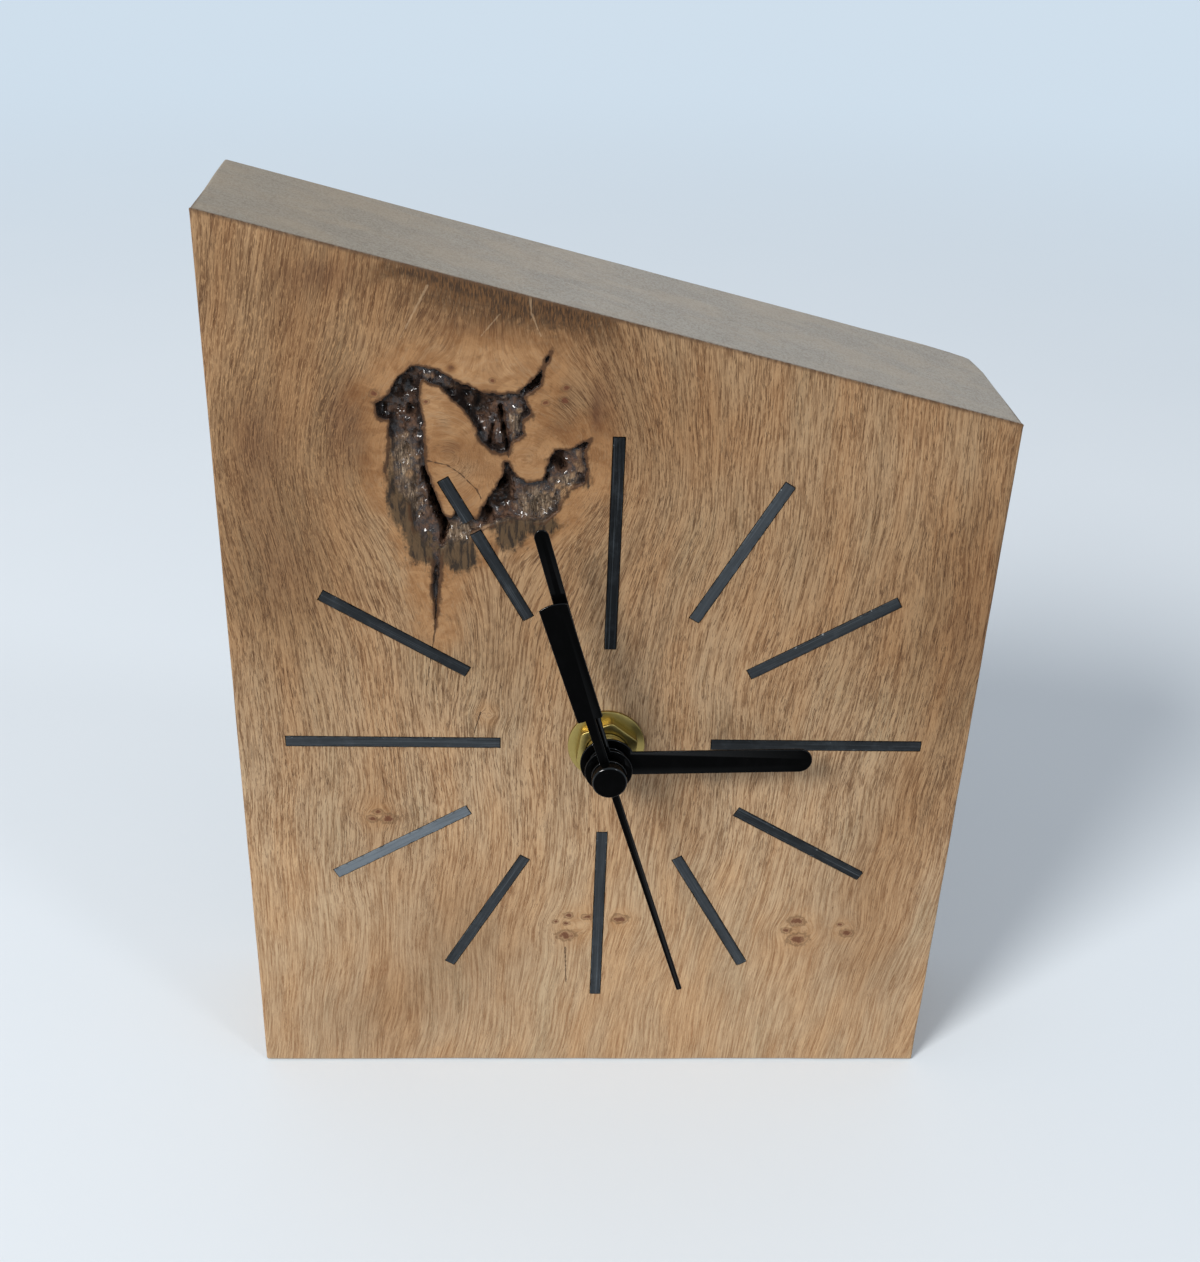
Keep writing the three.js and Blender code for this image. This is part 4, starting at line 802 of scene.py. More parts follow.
def straight_wood(w, settings, fibre, grain, low, flecked):
    """The face's plain wood: streaks from warm to pale, dark streaks and bands, broad warm and cool tints, and pale
    threads and flecks. The low part of the face is calmer."""
    deep = w.mix(w.times(low, 0.85), settings.deep, TONES["low deep"])
    lively = w.times(w.math("SUBTRACT", fibre["Streak"], 0.5), w.ramp(low, 0.0, 1.0, 9.0, 4.0))
    tints = w.noise(grain, (0.11, 0.11, 0.03), detail=2)
    return w.layers(
        w.mix(w.math("ADD", lively, 0.5), settings.warm, settings.pale),
        (w.times(w.ramp(fibre["Streak"], 0.43, 0.28), w.ramp(low, 0.0, 1.0, 0.92, 0.5)), deep),
        (w.times(w.ramp(fibre["Band"], 0.48, 0.76), w.ramp(low, 0.0, 1.0, 0.45, 0.1)), deep),
        (w.times(w.ramp(fibre["Band"], 0.5, 0.34, 0.0, 0.12), low), TONES["low band"]),
        (w.ramp(tints, 0.42, 0.62, 0.0, 0.7), (1.05, 0.92, 0.78), "MULTIPLY"),
        (w.ramp(tints, 0.44, 0.3, 0.0, 0.7), (0.95, 1.02, 1.06), "MULTIPLY"),
        (w.times(fibre["Thread"], w.ramp(low, 0.0, 1.0, 0.85, 0.3)), TONES["thread"]),
        (w.times(w.times(fibre["Fleck"], flecked), 0.85), TONES["fleck"]))


def face_marks(w, place, front):
    """Masks of the burrs, the pin knots' hearts and rings, the cracks and the scratches: the largest value of each kind
    at a point, fading out behind the face."""
    shared = groups()

    def most(values):
        """The largest of several values, at the face only."""
        total = values[0]
        for value in values[1:]:
            total = w.math("MAXIMUM", total, value)
        return w.times(total, front)

    def lines(table):
        """The cracks or scratches of one table."""
        return most([w.group(shared["Check line"], Place=place, Start=(a, 0, b), End=(c, 0, d), Width=width)["Line"]
                     for (a, b), (c, d), width in table])

    burrs = []
    for right, up, size in BURR_PLACES:
        away = w.stretched(w.vector("SUBTRACT", place, (right, 0, up)), (1, 0, 0.8))
        burrs.append(w.ramp(w.vector("LENGTH", away, out=1), size * 0.4, size * 1.3, 1, 0))
    pins = [w.group(shared["Pin knot"], Place=place, Centre=(right, 0, up), Radius=radius)
            for right, up, radius in PIN_KNOTS]
    return (most(burrs), most([pin["Heart"] for pin in pins]), most([pin["Ring"] for pin in pins]),
            lines(CHECK_LINES), lines(SCRATCH_LINES))


def knot_wood(w, settings, grain, swirl, reach):
    """The sound wood round the void: swirls, fine rings by sin(46 swirl + 1.6 reach), and pale and deep curls."""
    rings = w.math("SINE", w.times_plus(swirl, 46.0, w.times(reach, 1.6)))
    curl = w.noise(grain, (1.1, 1.1, 0.5), detail=4, roughness=0.7, distortion=1.2)
    return w.layers(
        settings.heart,
        (w.ramp(swirl, 0.36, 0.62), settings.figure), (w.ramp(rings, 0.1, 1.0, 0.0, 0.3), settings.figure),
        (w.ramp(curl, 0.5, 0.68, 0.0, 0.5), settings.pale), (w.ramp(curl, 0.45, 0.3, 0.0, 0.4), settings.deep))


def crown_ticks(w, place, swirl, reach, crown):
    """Short dark ticks under the slanted top, in arcs round the knot: their share and their colour."""
    ticks = w.noise(place, (3.4, 0, 0.6), detail=3, roughness=0.6)
    curved = w.node("ShaderNodeCombineXYZ", inputs={"X": w.times(reach, 0.42), "Z": w.times(swirl, 2.0)})
    arcs = w.noise(curved, (1, 1, 1), detail=3)
    dark = w.sway(ticks, 1.1, w.math("SUBTRACT", arcs, 0.5))
    dark = w.times_plus(w.times(dark, w.ramp(crown, 0.04, 0.4)), 1.1, crown)
    return w.ramp(dark, 0.07, 0.6, 0.0, 0.92), w.mix(w.ramp(ticks, 0.42, 0.6), TONES["tick dark"], TONES["tick pale"])


def sawn_end(w, settings, place, axes, pores):
    """The grey sawn end, its grey partly its own and partly painted cool light from above: open pores, slanted saw
    marks, pale clouds, and a darker tint towards the left.
    """
    slanted = w.node("ShaderNodeVectorRotate", inputs={"Vector": place, "Angle": 0.5}, rotation_type="Z_AXIS")
    saw = w.noise(slanted, (0.05, 0.9, 0.05), detail=4, roughness=0.6)
    clouds = w.noise(place, (0.07, 0.12, 0.07), detail=3)
    return w.layers(
        settings.end_grain, (w.ramp(pores, 0.38, 0.56, 0.3, 0.0), settings.deep),
        (w.ramp(saw, 0.4, 0.62, 0.0, 0.2), TONES["saw mark"]),
        (w.ramp(clouds, 0.4, 0.65, 0.0, 0.35), TONES["end cloud"]),
        (w.ramp(axes["X"], 0.0, -55.0), (0.86, 0.82, 0.76), "MULTIPLY"))


def oak_material(settings):
    """Oak with grain that parts round the knots, pores, a pale burr, a stained and barky void and a grey end."""
    material, w, shader = new_material("oak", roughness=0.6, Specular_IOR_Level=0.26, Coat_Roughness=0.1)
    place = w.place()
    axes = w.outputs("ShaderNodeSeparateXYZ", place)
    reach, sink, stain, rim, shade, greyed, end_grain, edge, crown, flecked, calm = (w.attribute(name) for name in (
        "reach", "sink", "stain", "rim", "shade", "fibre", "end", "edge", "crown", "fleck", "calm"))
    front = w.ramp(axes["Y"], FACE_Y + 6.0, FACE_Y + 2.0)
    low = w.times(w.ramp(axes["Z"], 84.0, 22.0), front)

    # Plain wood, and its pores: fewer in the flecked and in the low part.
    grain = grain_place(w, place, axes)
    fibre = w.group(groups()["Oak fibre"], Grain=grain, Pore_Density=w.ramp(axes["Z"], 12.0, 70.0, -0.025, 0.012))
    colour = straight_wood(w, settings, fibre, grain, low, flecked)
    pore = w.less(w.less(fibre["Pore"], 0.55, flecked), 0.6, low)

    # Smooth wood on the burrs, in a ragged halo round the void and in the calm place above it.
    burr, pin_heart, pin_ring, crack, scratch = face_marks(w, place, front)
    outward = w.sway(w.noise(place, (0.16, 0.16, 0.16), detail=3), 7.0, reach)
    halo = w.less(w.times(w.ramp(outward, 2.2, 6.8, 1, 0), w.ramp(reach, -0.6, 0.1)), 0.8, crown)
    smooth_wood = w.math("MAXIMUM", w.times(burr, 0.55), w.math("MAXIMUM", halo, calm))
    swirl = w.noise(place, (0.22, 0.22, 0.3), detail=5, roughness=0.62, distortion=0.8)
    pore = w.less(pore, 0.8, smooth_wood)

    # Over the plain wood lie, in turn, the knot's wood, pores, the face's darker places with their painted shade,
    # ticks, stain, the void's rim, pin knots, cracks and scratches. Lumps, and streaks along the grain, make the stain
    # and the rim uneven.
    streaky = w.noise(place, (1.15, 1.15, 0.24), detail=5, roughness=0.68, distortion=0.5)
    lumps = w.noise(place, (0.9, 0.9, 0.9), detail=5, roughness=0.7)
    stained = w.ramp(w.sway(streaky, 0.95, w.sway(lumps, 1.0, stain)), 0.18, 0.66)
    stain_colour = w.mix(w.ramp(streaky, 0.44, 0.57), TONES["stain pale"], TONES["stain dark"])
    colour = w.layers(
        colour, (w.times(smooth_wood, 0.82), knot_wood(w, settings, grain, swirl, reach)),
        (w.times(pore, 0.76), w.mix(w.times(low, 0.6), settings.pore, TONES["low pore"])),
        (shade, (0.12, 0.03, 0.0), "MULTIPLY"), (w.ramp(shade, 0.1, 0.6), (1.0, 0.91, 0.74), "MULTIPLY"),
        crown_ticks(w, place, swirl, reach, crown), (w.times(stained, 0.95), stain_colour),
        (w.times(w.ramp(w.sway(lumps, 1.0, rim), 0.2, 0.7), 0.92), TONES["rim"]),
        (w.times(pin_ring, 0.6), settings.deep), (w.times(pin_heart, 0.88), TONES["pin heart"]),
        (w.times(crack, 0.8), TONES["check"]), (w.times(scratch, 0.34), settings.pale))

    # The void: bark, grey fibre with pale strands and pale specks that are painted glints, dark hollows, the border,
    # and painted shade that deepens with depth.
    grey = w.ramp(w.sway(lumps, 1.3, greyed), 0.3, 0.85)
    strands = w.noise(place, (3.1, 2.0, 0.34), detail=3, roughness=0.6, distortion=0.25)
    glint_noise = w.noise(place, (3.0, 3.0, 2.2), detail=3, roughness=0.7)
    inside = w.layers(
        settings.bark, (w.ramp(lumps, 0.46, 0.6, 0.0, 0.6), TONES["bark pale"]),
        (grey, w.mix(w.ramp(strands, 0.4, 0.6), TONES["fibre dark"], settings.fibre)),
        (w.times(w.ramp(strands, 0.56, 0.68), w.times(grey, 0.8)), TONES["fibre pale"]),
        # Pale specks in the grey fibre: painted glints.
        (w.times(w.ramp(glint_noise, 0.62, 0.72), w.times(grey, 0.6)), TONES["painted glint"]),
        (w.ramp(lumps, 0.45, 0.32, 0.0, 0.85), TONES["hollow"]),
        (w.ramp(w.sway(streaky, 0.9, rim), 0.2, 0.52, 0.0, 0.92), TONES["void border"]),
        # Darker with the void's depth: painted shade in the deep places.
        (w.ramp(sink, 0.32, 0.8, 0.0, 0.9), TONES["void depth shade"]))
    in_void = w.ramp(sink, 0.02, 0.09)

    # The sawn end, and the torn edge between it and the face.
    end_pores = w.noise(place, (2.4, 1.7, 2.4), detail=4, roughness=0.75)
    torn = w.noise(place, (1.5, 1.5, 0), detail=4, roughness=0.65)
    colour = w.layers(colour, (in_void, inside), (end_grain, sawn_end(w, settings, place, axes, end_pores)),
                      (w.times(edge, w.ramp(torn, 0.44, 0.56, 0.62, 0.98)), TONES["torn edge"]))

    # Roughness: streaked wood, smoother where the wood is smooth, wet-looking hollows in the void, a dull end.
    rough = w.ramp(fibre["Streak"], 0.2, 0.8, 0.66, 0.5)
    rough = w.blend(w.times(smooth_wood, 0.6), rough, 0.42)
    rough = w.blend(in_void, rough, w.ramp(lumps, 0.36, 0.6, 0.2, 0.6))

    # Relief: streaks, less pores and cracks, and bark in the void, where clear resin lies on the hollows.
    relief = w.times_plus(crack, -1.4, w.times_plus(pore, -0.8, w.times(fibre["Streak"], 0.6)))
    relief = w.times_plus(w.times(end_pores, end_grain), 0.8, relief)
    barky = w.math("ADD", w.times(lumps, 2.6), w.times_plus(glint_noise, 0.8, w.times(strands, 1.8)))
    relief = w.times_plus(w.times(barky, in_void), 1.3, relief)
    resin = w.times(in_void, w.ramp(w.times_plus(grey, 0.12, lumps), 0.62, 0.42, 0.1, 0.9))
    w.surface(shader, Base_Color=colour, Roughness=w.blend(end_grain, rough, 0.8), Coat_Weight=resin,
              Normal=w.bump(relief, 0.16, 0.85))
    return material


def distance_to(points, outline):
    """Signed distance from points to a closed outline, below nought inside it, and the nearest outline points."""
    starts = np.asarray(outline, float)
    sides = np.roll(starts, -1, axis=0) - starts
    offset = points[:, None, :] - starts[None]
    along = np.clip((offset * sides).sum(-1) / (sides * sides).sum(-1), 0, 1)
    nearest = starts[None] + along[..., None] * sides[None]
    gap = np.linalg.norm(points[:, None, :] - nearest, axis=-1)
    best = gap.argmin(axis=1)
    row = np.arange(len(points))
    ends = starts + sides
    spans = (starts[None, :, 1] > points[:, 1:]) != (ends[None, :, 1] > points[:, 1:])
    rise = np.where(np.abs(sides[:, 1]) < 1e-12, 1e-12, sides[:, 1])
    crossing = starts[None, :, 0] + (points[:, 1:] - starts[None, :, 1]) / rise * sides[None, :, 0]
    inside = (spans & (points[:, :1] < crossing)).sum(axis=1) % 2 == 1
    return np.where(inside, -1.0, 1.0) * gap[row, best], nearest[row, best]


def near_knot(x, z):
    """The part of the board that can reach the void."""
    return (x > KNOT_AREA[0]) & (x < KNOT_AREA[1]) & (z > KNOT_AREA[2])


def void_reach(x, z):
    """Signed distance to the void's outline, made ragged by noise, and the unit direction away from it."""
    outline = np.array(VOID_SHARES + HEART_SHARES) * DIAL_RADIUS + (0.0, DIAL_HEIGHT)
    reach = np.full(len(x), FAR)
    away = np.zeros((len(x), 2))
    near = near_knot(x, z)
    places = np.stack([x[near], z[near]], axis=-1)
    gap, nearest = distance_to(places, outline)
    away[near] = (places - nearest) * np.sign(gap)[:, None] / np.maximum(np.abs(gap), 1e-6)[:, None]
    reach[near] = gap + 0.22 * layered(x[near] * 0.9, z[near] * 0.9, 7, 4)
    return reach, away


def void_depth(x, z, reach):
    """Depth of the void: a wall at its outline, steep or gentle, down to a ledge of bark with lumps and with ridges
    along the grain, and bell-shaped deep places."""
    inside = np.maximum(-reach, 0)
    gentle = np.clip(places_sum(x, z, GENTLE_PLACES), 0, 1)
    ridges = 0.28 * layered(x * 1.3, z * 0.26, 23, 2)
    ledge = 1.0 + 0.5 * layered(x * 0.4, z * 0.4, 11, 3) + 0.4 * layered(x * 1.05, z * 0.9, 17, 2) + ridges
    pits = sum(deep * np.exp(-((x - right) ** 2 + (z - up) ** 2) / (1.3 * size ** 2))
               for right, up, size, deep in DEEP_PLACES)
    places = np.stack([x, z], axis=-1)
    pits += sum(deep * np.exp(-(distance_to(places, (start, end))[0] / wide) ** 2)
                for start, end, wide, deep in CLEFT_LINES)
    depth = np.clip(ledge, 0.3, None) * (1 - 0.45 * gentle) + pits * (1 + 0.3 * layered(x * 0.8, z * 0.8, 31, 2))
    return depth * smooth(0.0, 1.0, inside / (0.38 + 2.6 * gentle))


def places_sum(x, z, table):
    """The sum of bell shapes, each with its own reach across and along."""
    return sum(strength * np.exp(-((x - right) / wide) ** 2 - ((z - up) / tall) ** 2)
               for right, up, wide, tall, strength in table)


def top_at(x):
    """Height of the slanted top."""
    return LEFT_HEIGHT - TOP_DROP * (x + HALF_WIDTH) / (2 * HALF_WIDTH)


def cell_lines(low, high, fine, fine_size, coarse, near=(0.1, 0.24, 0.42, 0.7, 1.2, 2.0, 3.2, 4.7)):
    """Cell borders that crowd at both ends and inside a fine span, and are coarse elsewhere."""
    near = np.array(near)
    parts = [[low], low + near]
    edges = [low + near[-1], *(fine or ()), high - near[-1]]
    sizes = [coarse, fine_size, coarse] if fine else [coarse]
    for start, end, size in zip(edges[:-1], edges[1:], sizes):
        parts.append(np.linspace(start, end, max(1, round((end - start) / size)) + 1)[1:])
    parts += [high - near[::-1][1:], [high]]
    return np.concatenate(parts)


def block_shell(settings):
    """The block without its pocket: a rounded box sheared to the slanted top, whose front sinks at the void."""
    ease, fine = settings.ease / MM, settings.fine_cell / MM
    lines = [cell_lines(-HALF_WIDTH, HALF_WIDTH, FINE_ACROSS, fine, COARSE_CELL),
             cell_lines(FACE_Y, BACK_Y, None, 0, DEPTH_CELL, (0.1, 0.24, 0.42, 0.9, 2.0, 4.6)),
             cell_lines(0.0, LEFT_HEIGHT, FINE_UP, fine, COARSE_CELL)]

    def ease_at(p):
        """The easing radius: uneven by noise, less at the sawn top of the face, more at the back's high corner."""
        patchy = 0.35 * ease * noise(p[:, 0] / 9 + p[:, 1] / 7, p[:, 2] / 9, 3)
        away = (p[:, 0] - HALF_WIDTH) ** 2 + (p[:, 1] - BACK_Y) ** 2 + (p[:, 2] - LEFT_HEIGHT) ** 2
        high_right = np.exp(-away / 6.0 ** 2)
        sawn = smooth(LEFT_HEIGHT - 1.0, LEFT_HEIGHT, p[:, 2]) * smooth(FACE_Y + 1.0, FACE_Y, p[:, 1])
        return np.clip((ease + patchy) * (1 - 0.6 * sawn) + 1.5 * high_right, 0.2, 4.4)

    points, faces = box_grids(lines, ease_at, back_cell=BACK_CELL)
    points[:, 2] *= top_at(points[:, 0]) / LEFT_HEIGHT
    face = np.abs(points[:, 1] - FACE_Y) < 1e-6
    near = face & near_knot(points[:, 0], points[:, 2])
    reach, away = void_reach(points[near, 0], points[near, 2])
    snap = np.abs(reach) < 0.5 * fine
    moved = points[near]
    moved[snap, 0] -= reach[snap] * away[snap, 0]
    moved[snap, 2] -= reach[snap] * away[snap, 1]
    reach[snap] = 0
    moved[:, 1] += void_depth(moved[:, 0], moved[:, 2], reach)
    points[near] = moved
    return points, faces


def pillar(outline, y_front, y_back):
    """A closed outline carried from one plane to another, with a face at each end."""
    outline = np.asarray(outline, float)
    return outline_rows([(y_front, outline), (y_back, outline)]), capped_faces(2, len(outline))


def round_rect(x0, x1, z0, z1, corner, steps):
    """A rectangle with round corners, counterclockwise as seen from the front."""
    arc = np.linspace(0, np.pi / 2, steps + 1)
    centres = ((x1 - corner, z1 - corner), (x0 + corner, z1 - corner), (x0 + corner, z0 + corner),
               (x1 - corner, z0 + corner))
    return np.concatenate([np.stack([x + corner * np.cos(arc + k * np.pi / 2),
                                     z + corner * np.sin(arc + k * np.pi / 2)], axis=-1)
                           for k, (x, z) in enumerate(centres)])


def cutters():
    """The shapes taken out of the block: grooves, shaft hole and pocket."""
    grooves = []
    for _, degrees, inner, outer in BATONS:
        low, high = inner - GROOVE_GAP, outer + GROOVE_GAP
        bar = [(-GROOVE_HALF, low), (GROOVE_HALF, low), (GROOVE_HALF, high), (-GROOVE_HALF, high)]
        points, faces = pillar(bar, FACE_Y - CLEAR, FACE_Y + GROOVE_DEPTH)
        grooves.append((turn_to(points, degrees), faces))
    hole = pillar(circle(AXIS, HOLE_RADIUS), FACE_Y - CLEAR, POCKET_Y + CLEAR)
    pocket = pillar(round_rect(-POCKET_HALF, POCKET_HALF, *POCKET_Z, POCKET_CORNER, 12), POCKET_Y, BACK_Y + CLEAR)
    return [joined(grooves), hole, pocket]


def carve(piece, points, faces):
    """Takes a closed shape out of a piece's mesh."""
    mesh = new_mesh("cutter", points, faces)
    cutter = link_object("cutter", mesh)
    cut = piece.modifiers.new("carve", "BOOLEAN")
    cut.operation, cut.solver, cut.object = "DIFFERENCE", "MANIFOLD", cutter
    bpy.context.view_layer.update()
    whole = piece.data
    piece.data = bpy.data.meshes.new_from_object(piece.evaluated_get(bpy.context.evaluated_depsgraph_get()))
    piece.modifiers.clear()
    piece.data.name = whole.name
    bpy.data.objects.remove(cutter)
    for spare in (mesh, whole):
        bpy.data.meshes.remove(spare)


def mark_block(mesh):
    """Writes the masks that the oak material reads, each a value per point, from bell shapes and from distances to the
    void's outline, to the slanted top and to the edges."""
    place = np.empty(3 * len(mesh.vertices), np.float32)
    mesh.vertices.foreach_get("co", place)
    x, y, z = place.reshape(-1, 3).T.astype(float) / MM
    reach, _ = void_reach(x, z)
    below_top = top_at(x) - z
    front = smooth(FACE_Y + 12.0, FACE_Y + 9.0, y)
    in_void = near_knot(x, z) & (reach < 0.6) & (y < FACE_Y + 11.0)
    gentle = np.clip(places_sum(x, z, GENTLE_PLACES), 0, 1)
    rim = np.exp(-np.abs(reach) / np.where(reach > 0, 0.45, 0.9)) * (1 - 0.75 * gentle)
    crown = 0.42 * np.exp(-((x + 21.0) / 25.0) ** 4 - (below_top / 8.5) ** 2)
    crown = crown + 0.58 * np.exp(-((x + 19.0) / 15.0) ** 4 - (below_top / 3.4) ** 2)
    calm = 0.9 * np.exp(-((x + 20.0) / 13.0) ** 4 - ((z - 151.5) / 5.5) ** 4)
    # Darker in the listed places, among them a painted shadow below the hub, darker towards the top, and darker under
    # the crown.
    shade = places_sum(x, z, SHADE_PLACES) * (0.3 + 0.7 * front) + 0.36 * smooth(35.0, 125.0, z) + 0.18 * crown * front
    stain = places_sum(x, z, STAIN_PLACES) + 0.75 * gentle * np.exp(-np.maximum(reach, 0) / 1.1)
    fleck = 0.42 + 0.55 * np.exp(-((x + 52.0) / 30.0) ** 2 - ((z - 146.0) / 34.0) ** 2) - 0.2 * smooth(90.0, 40.0, z)
    gaps = np.sort(np.stack([HALF_WIDTH - np.abs(x), BACK_Y - np.abs(y), np.minimum(z, below_top)]), axis=0)
    end = np.maximum(smooth(0.5, 0.1, below_top) * smooth(FACE_Y + 0.03, FACE_Y + 0.2, y), smooth(0.5, 0.1, z))
    masks = {
        "reach": np.where(front > 0, reach, FAR),
        "sink": np.clip(np.where(in_void, np.maximum(y - FACE_Y, 0), 0) / 6.0, 0, 1),
        "stain": stain * front, "rim": rim * front, "shade": shade, "crown": crown * front, "fleck": fleck,
        "calm": calm * front, "fibre": np.clip(places_sum(x, z, FIBRE_PLACES), 0, 1), "end": end,
        "edge": smooth(0.75, 0.1, gaps[1]) * smooth(2.0, 1.0, below_top) * front,
    }
    for name, values in masks.items():
        mark(mesh, name, values)


def build_oak_block(settings):
    """The block: its shell, less grooves, hole and pocket, with its masks."""
    piece = make_piece("oak_block_grained", *block_shell(settings), oak_material(settings), "clock_body", "oak",
                       ["oak_block"], sharp=50)
    for points, faces in cutters():
        carve(piece, points, faces)
    piece.data.set_sharp_from_angle(angle=math.radians(42))
    mark_block(piece.data)


def baton_material(settings):
    """Dyed strip with fine lengthwise lines, a patchy painted sheen that stands for the window's reflection, pale
    painted glints and dark dusty specks at the edges, on the strip's own map.
    """
    material, w, shader = new_material("baton_black", roughness=0.4, Specular_IOR_Level=0.11)
    run = w.stretched(w.node("ShaderNodeUVMap", uv_map="run"), (100.0, 100.0, 0.0))
    lines = w.noise(run, (5.5, 0.035, 1), detail=4, roughness=0.7)
    broken = w.noise(run, (1.2, 0.05, 1), detail=4, roughness=0.6)
    scratch = w.times(w.ramp(lines, 0.5, 0.72), w.ramp(broken, 0.35, 0.6))
    # Painted sheen: the strip paler where the window's reflection would lie, patchy along it.
    patchy = w.times(w.attribute("painted_sheen"), w.ramp(broken, 0.2, 0.6, 0.55, 1.0))
    fine = w.group(groups()["Fine surface"], Place=w.place(), Grain_Size=0.3)
    edge_specks, rim = w.noise(run, (1.4, 0.9, 1), detail=3, roughness=0.6), w.attribute("rim")
    colour = w.layers(
        settings.shade, (patchy, settings.sheen_and_scratch), (w.times(scratch, 0.4), settings.sheen_and_scratch),
        (w.times(fine["Spot"], 0.08), settings.sheen_and_scratch),
        # The pale specks along the edges are painted glints; the dark ones are dust.
        (w.times(rim, w.ramp(edge_specks, 0.66, 0.72, 0.0, 0.55)), TONES["painted edge glint"]),
        (w.times(rim, w.ramp(edge_specks, 0.5, 0.4, 0.0, 0.5)), TONES["dust"]))
    relief = w.times_plus(fine["Grain"], 0.3, lines)
    w.surface(shader, Base_Color=colour, Roughness=w.ramp(broken, 0.3, 0.7, 0.34, 0.5),
              Normal=w.bump(relief, 0.06, 0.8))
    return material


def set_map(mesh, name, across, along):
    """A UV map whose two values per point are lengths in millimetres, divided by 100."""
    corner = np.empty(len(mesh.loops), np.int32)
    mesh.loops.foreach_get("vertex_index", corner)
    layer = mesh.uv_layers.new(name=name)
    pairs = np.stack([across, along], axis=-1)[corner] / 100.0
    layer.data.foreach_set("uv", pairs.astype(np.float32).ravel())


def build_batons(settings):
    """The strips: rounded boxes turned to their hours, whose sides wander and are nicked by noise of the place along
    them, and whose fronts dip at both edges by the square of the distance from the middle."""
    material = baton_material(settings)
    for number, (name, degrees, inner, outer) in enumerate(BATONS):
        low, high = (-BATON_HALF, FACE_Y - BATON_PROUD, inner), (BATON_HALF, FACE_Y + GROOVE_DEPTH, outer)
        cuts = (6, 2, max(6, round((outer - inner) / 0.8)))
        points, faces = rounded_box(low, high, settings.ease / MM, cuts)
        along, side = points[:, 2], np.sign(points[:, 0])
        wander = 0.05 * layered(along * 0.45, np.full(len(points), 3.0 * number), 41)
        points[:, 0] -= side * 0.12 * np.abs(layered(along * 0.9, 2.0 * side + 5.0 * number, 43))
        points[:, 0] += wander * (1 - np.abs(points[:, 0]) / BATON_HALF)
        off_middle = points[:, 0] / BATON_HALF
        points[:, 1] += np.where(points[:, 1] < FACE_Y, 0.05 * off_middle ** 2, 0)
        piece = make_piece(f"{name}_strip", turn_to(points, degrees), faces, material, "clock_body", "baton_black",
                           [name])
        set_map(piece.data, "run", points[:, 0] + 17.0 * number, along + 31.0 * number)
        # This strip's share of painted sheen, a stand-in for the window's reflection.
        mark(piece.data, "painted_sheen", np.full(len(points), BATON_PAINTED_SHEEN.get(name[-2:], FAINT_PAINTED_SHEEN)))
        mark(piece.data, "rim", smooth(0.62, 0.96, np.abs(off_middle)))


def brass_material(settings):
    """Satin brass with faint tarnish and soft spots."""
    material, w, shader = new_material("brass", metallic=1.0, roughness=0.3)
    place = w.place()
    fine = w.group(groups()["Fine surface"], Place=place, Grain_Size=0.25)
    tarnish = w.noise(place, (0.5, 0.5, 0.5), detail=4, roughness=0.65)
    w.surface(shader, Base_Color=w.mix(w.ramp(tarnish, 0.45, 0.8, 0.0, 0.45), settings.brass, TONES["tarnish"]),
              Roughness=w.ramp(fine["Spot"], 0.0, 1.0, 0.33, 0.46), Normal=w.bump(fine["Grain"], 0.012, 0.5))
    return material


def hex_nut(centre, across, front, back, chamfer, bore, turn, limit, steps=144):
    """A nut's flats as radius = half across flats / cos of the angle to the nearest flat, limited at the corners, and
    drawn in by a quarter round towards the front; the bore runs back inside."""
    angle = whole_turn(steps)
    turned = (angle - math.radians(turn)) % (np.pi / 3) - np.pi / 6
    corner = np.minimum(across / 2 / np.cos(turned), across / 2 * limit)
    rows = [(front + deep * chamfer, corner - inward * chamfer)
            for deep, inward in ((0, 1), (0.12, 0.5), (0.5, 0.12), (1, 0))]
    rows += [(back, corner), (back, bore), (front + 0.15, bore), (front, bore + 0.15)]
    return turned_rows(centre, rows, angle), tube_faces(len(rows), steps)


def threaded_bush(centre, radius, bore, front, back, pitch, depth, steps=96):
    """Radius = outer radius less the thread's depth times a triangle wave of (distance back / pitch - turn), faded
    out towards the front end, which is chamfered."""
    turn = np.arange(steps) / steps
    y = np.linspace(front, back, int((back - front) / pitch * 8))
    phase = (y[:, None] - front) / pitch - turn[None]
    wave = 2 * np.abs(phase % 1.0 - 0.5)
    fade = smooth(0.1, 0.7, y - front)[:, None]
    outside = radius - depth * wave * fade - 0.35 * (1 - smooth(0.0, 0.4, y - front))[:, None]
    rows = [*zip(y, outside), (back, bore), (front, bore)]
    return turned_rows(centre, rows, whole_turn(steps)), tube_faces(len(rows), steps)


def build_fixings(settings):
    """Washer, nut and bush round the hand shaft."""
    material = brass_material(settings)
    bore, radius, front, middle, ease = WASHER.values()
    washer = [(bore, ahead(middle)), (bore, ahead(front)), (radius, ahead(front)), (radius, ahead(0.0)),
              (bore, ahead(0.0)), (bore, ahead(middle))]
    make_piece("washer_ring", *lathe(eased(washer, ease), AXIS), material, "clock_body", "brass", ["nut_washer"])
    make_piece("nut_chamfered", *hex_nut(AXIS, **NUT), material, "clock_body", "brass", ["hex_nut"], sharp=25)
    make_piece("bush_thread", *threaded_bush(AXIS, **BUSH), material, "clock_body", "brass", ["threaded_bush"],
               sharp=50)


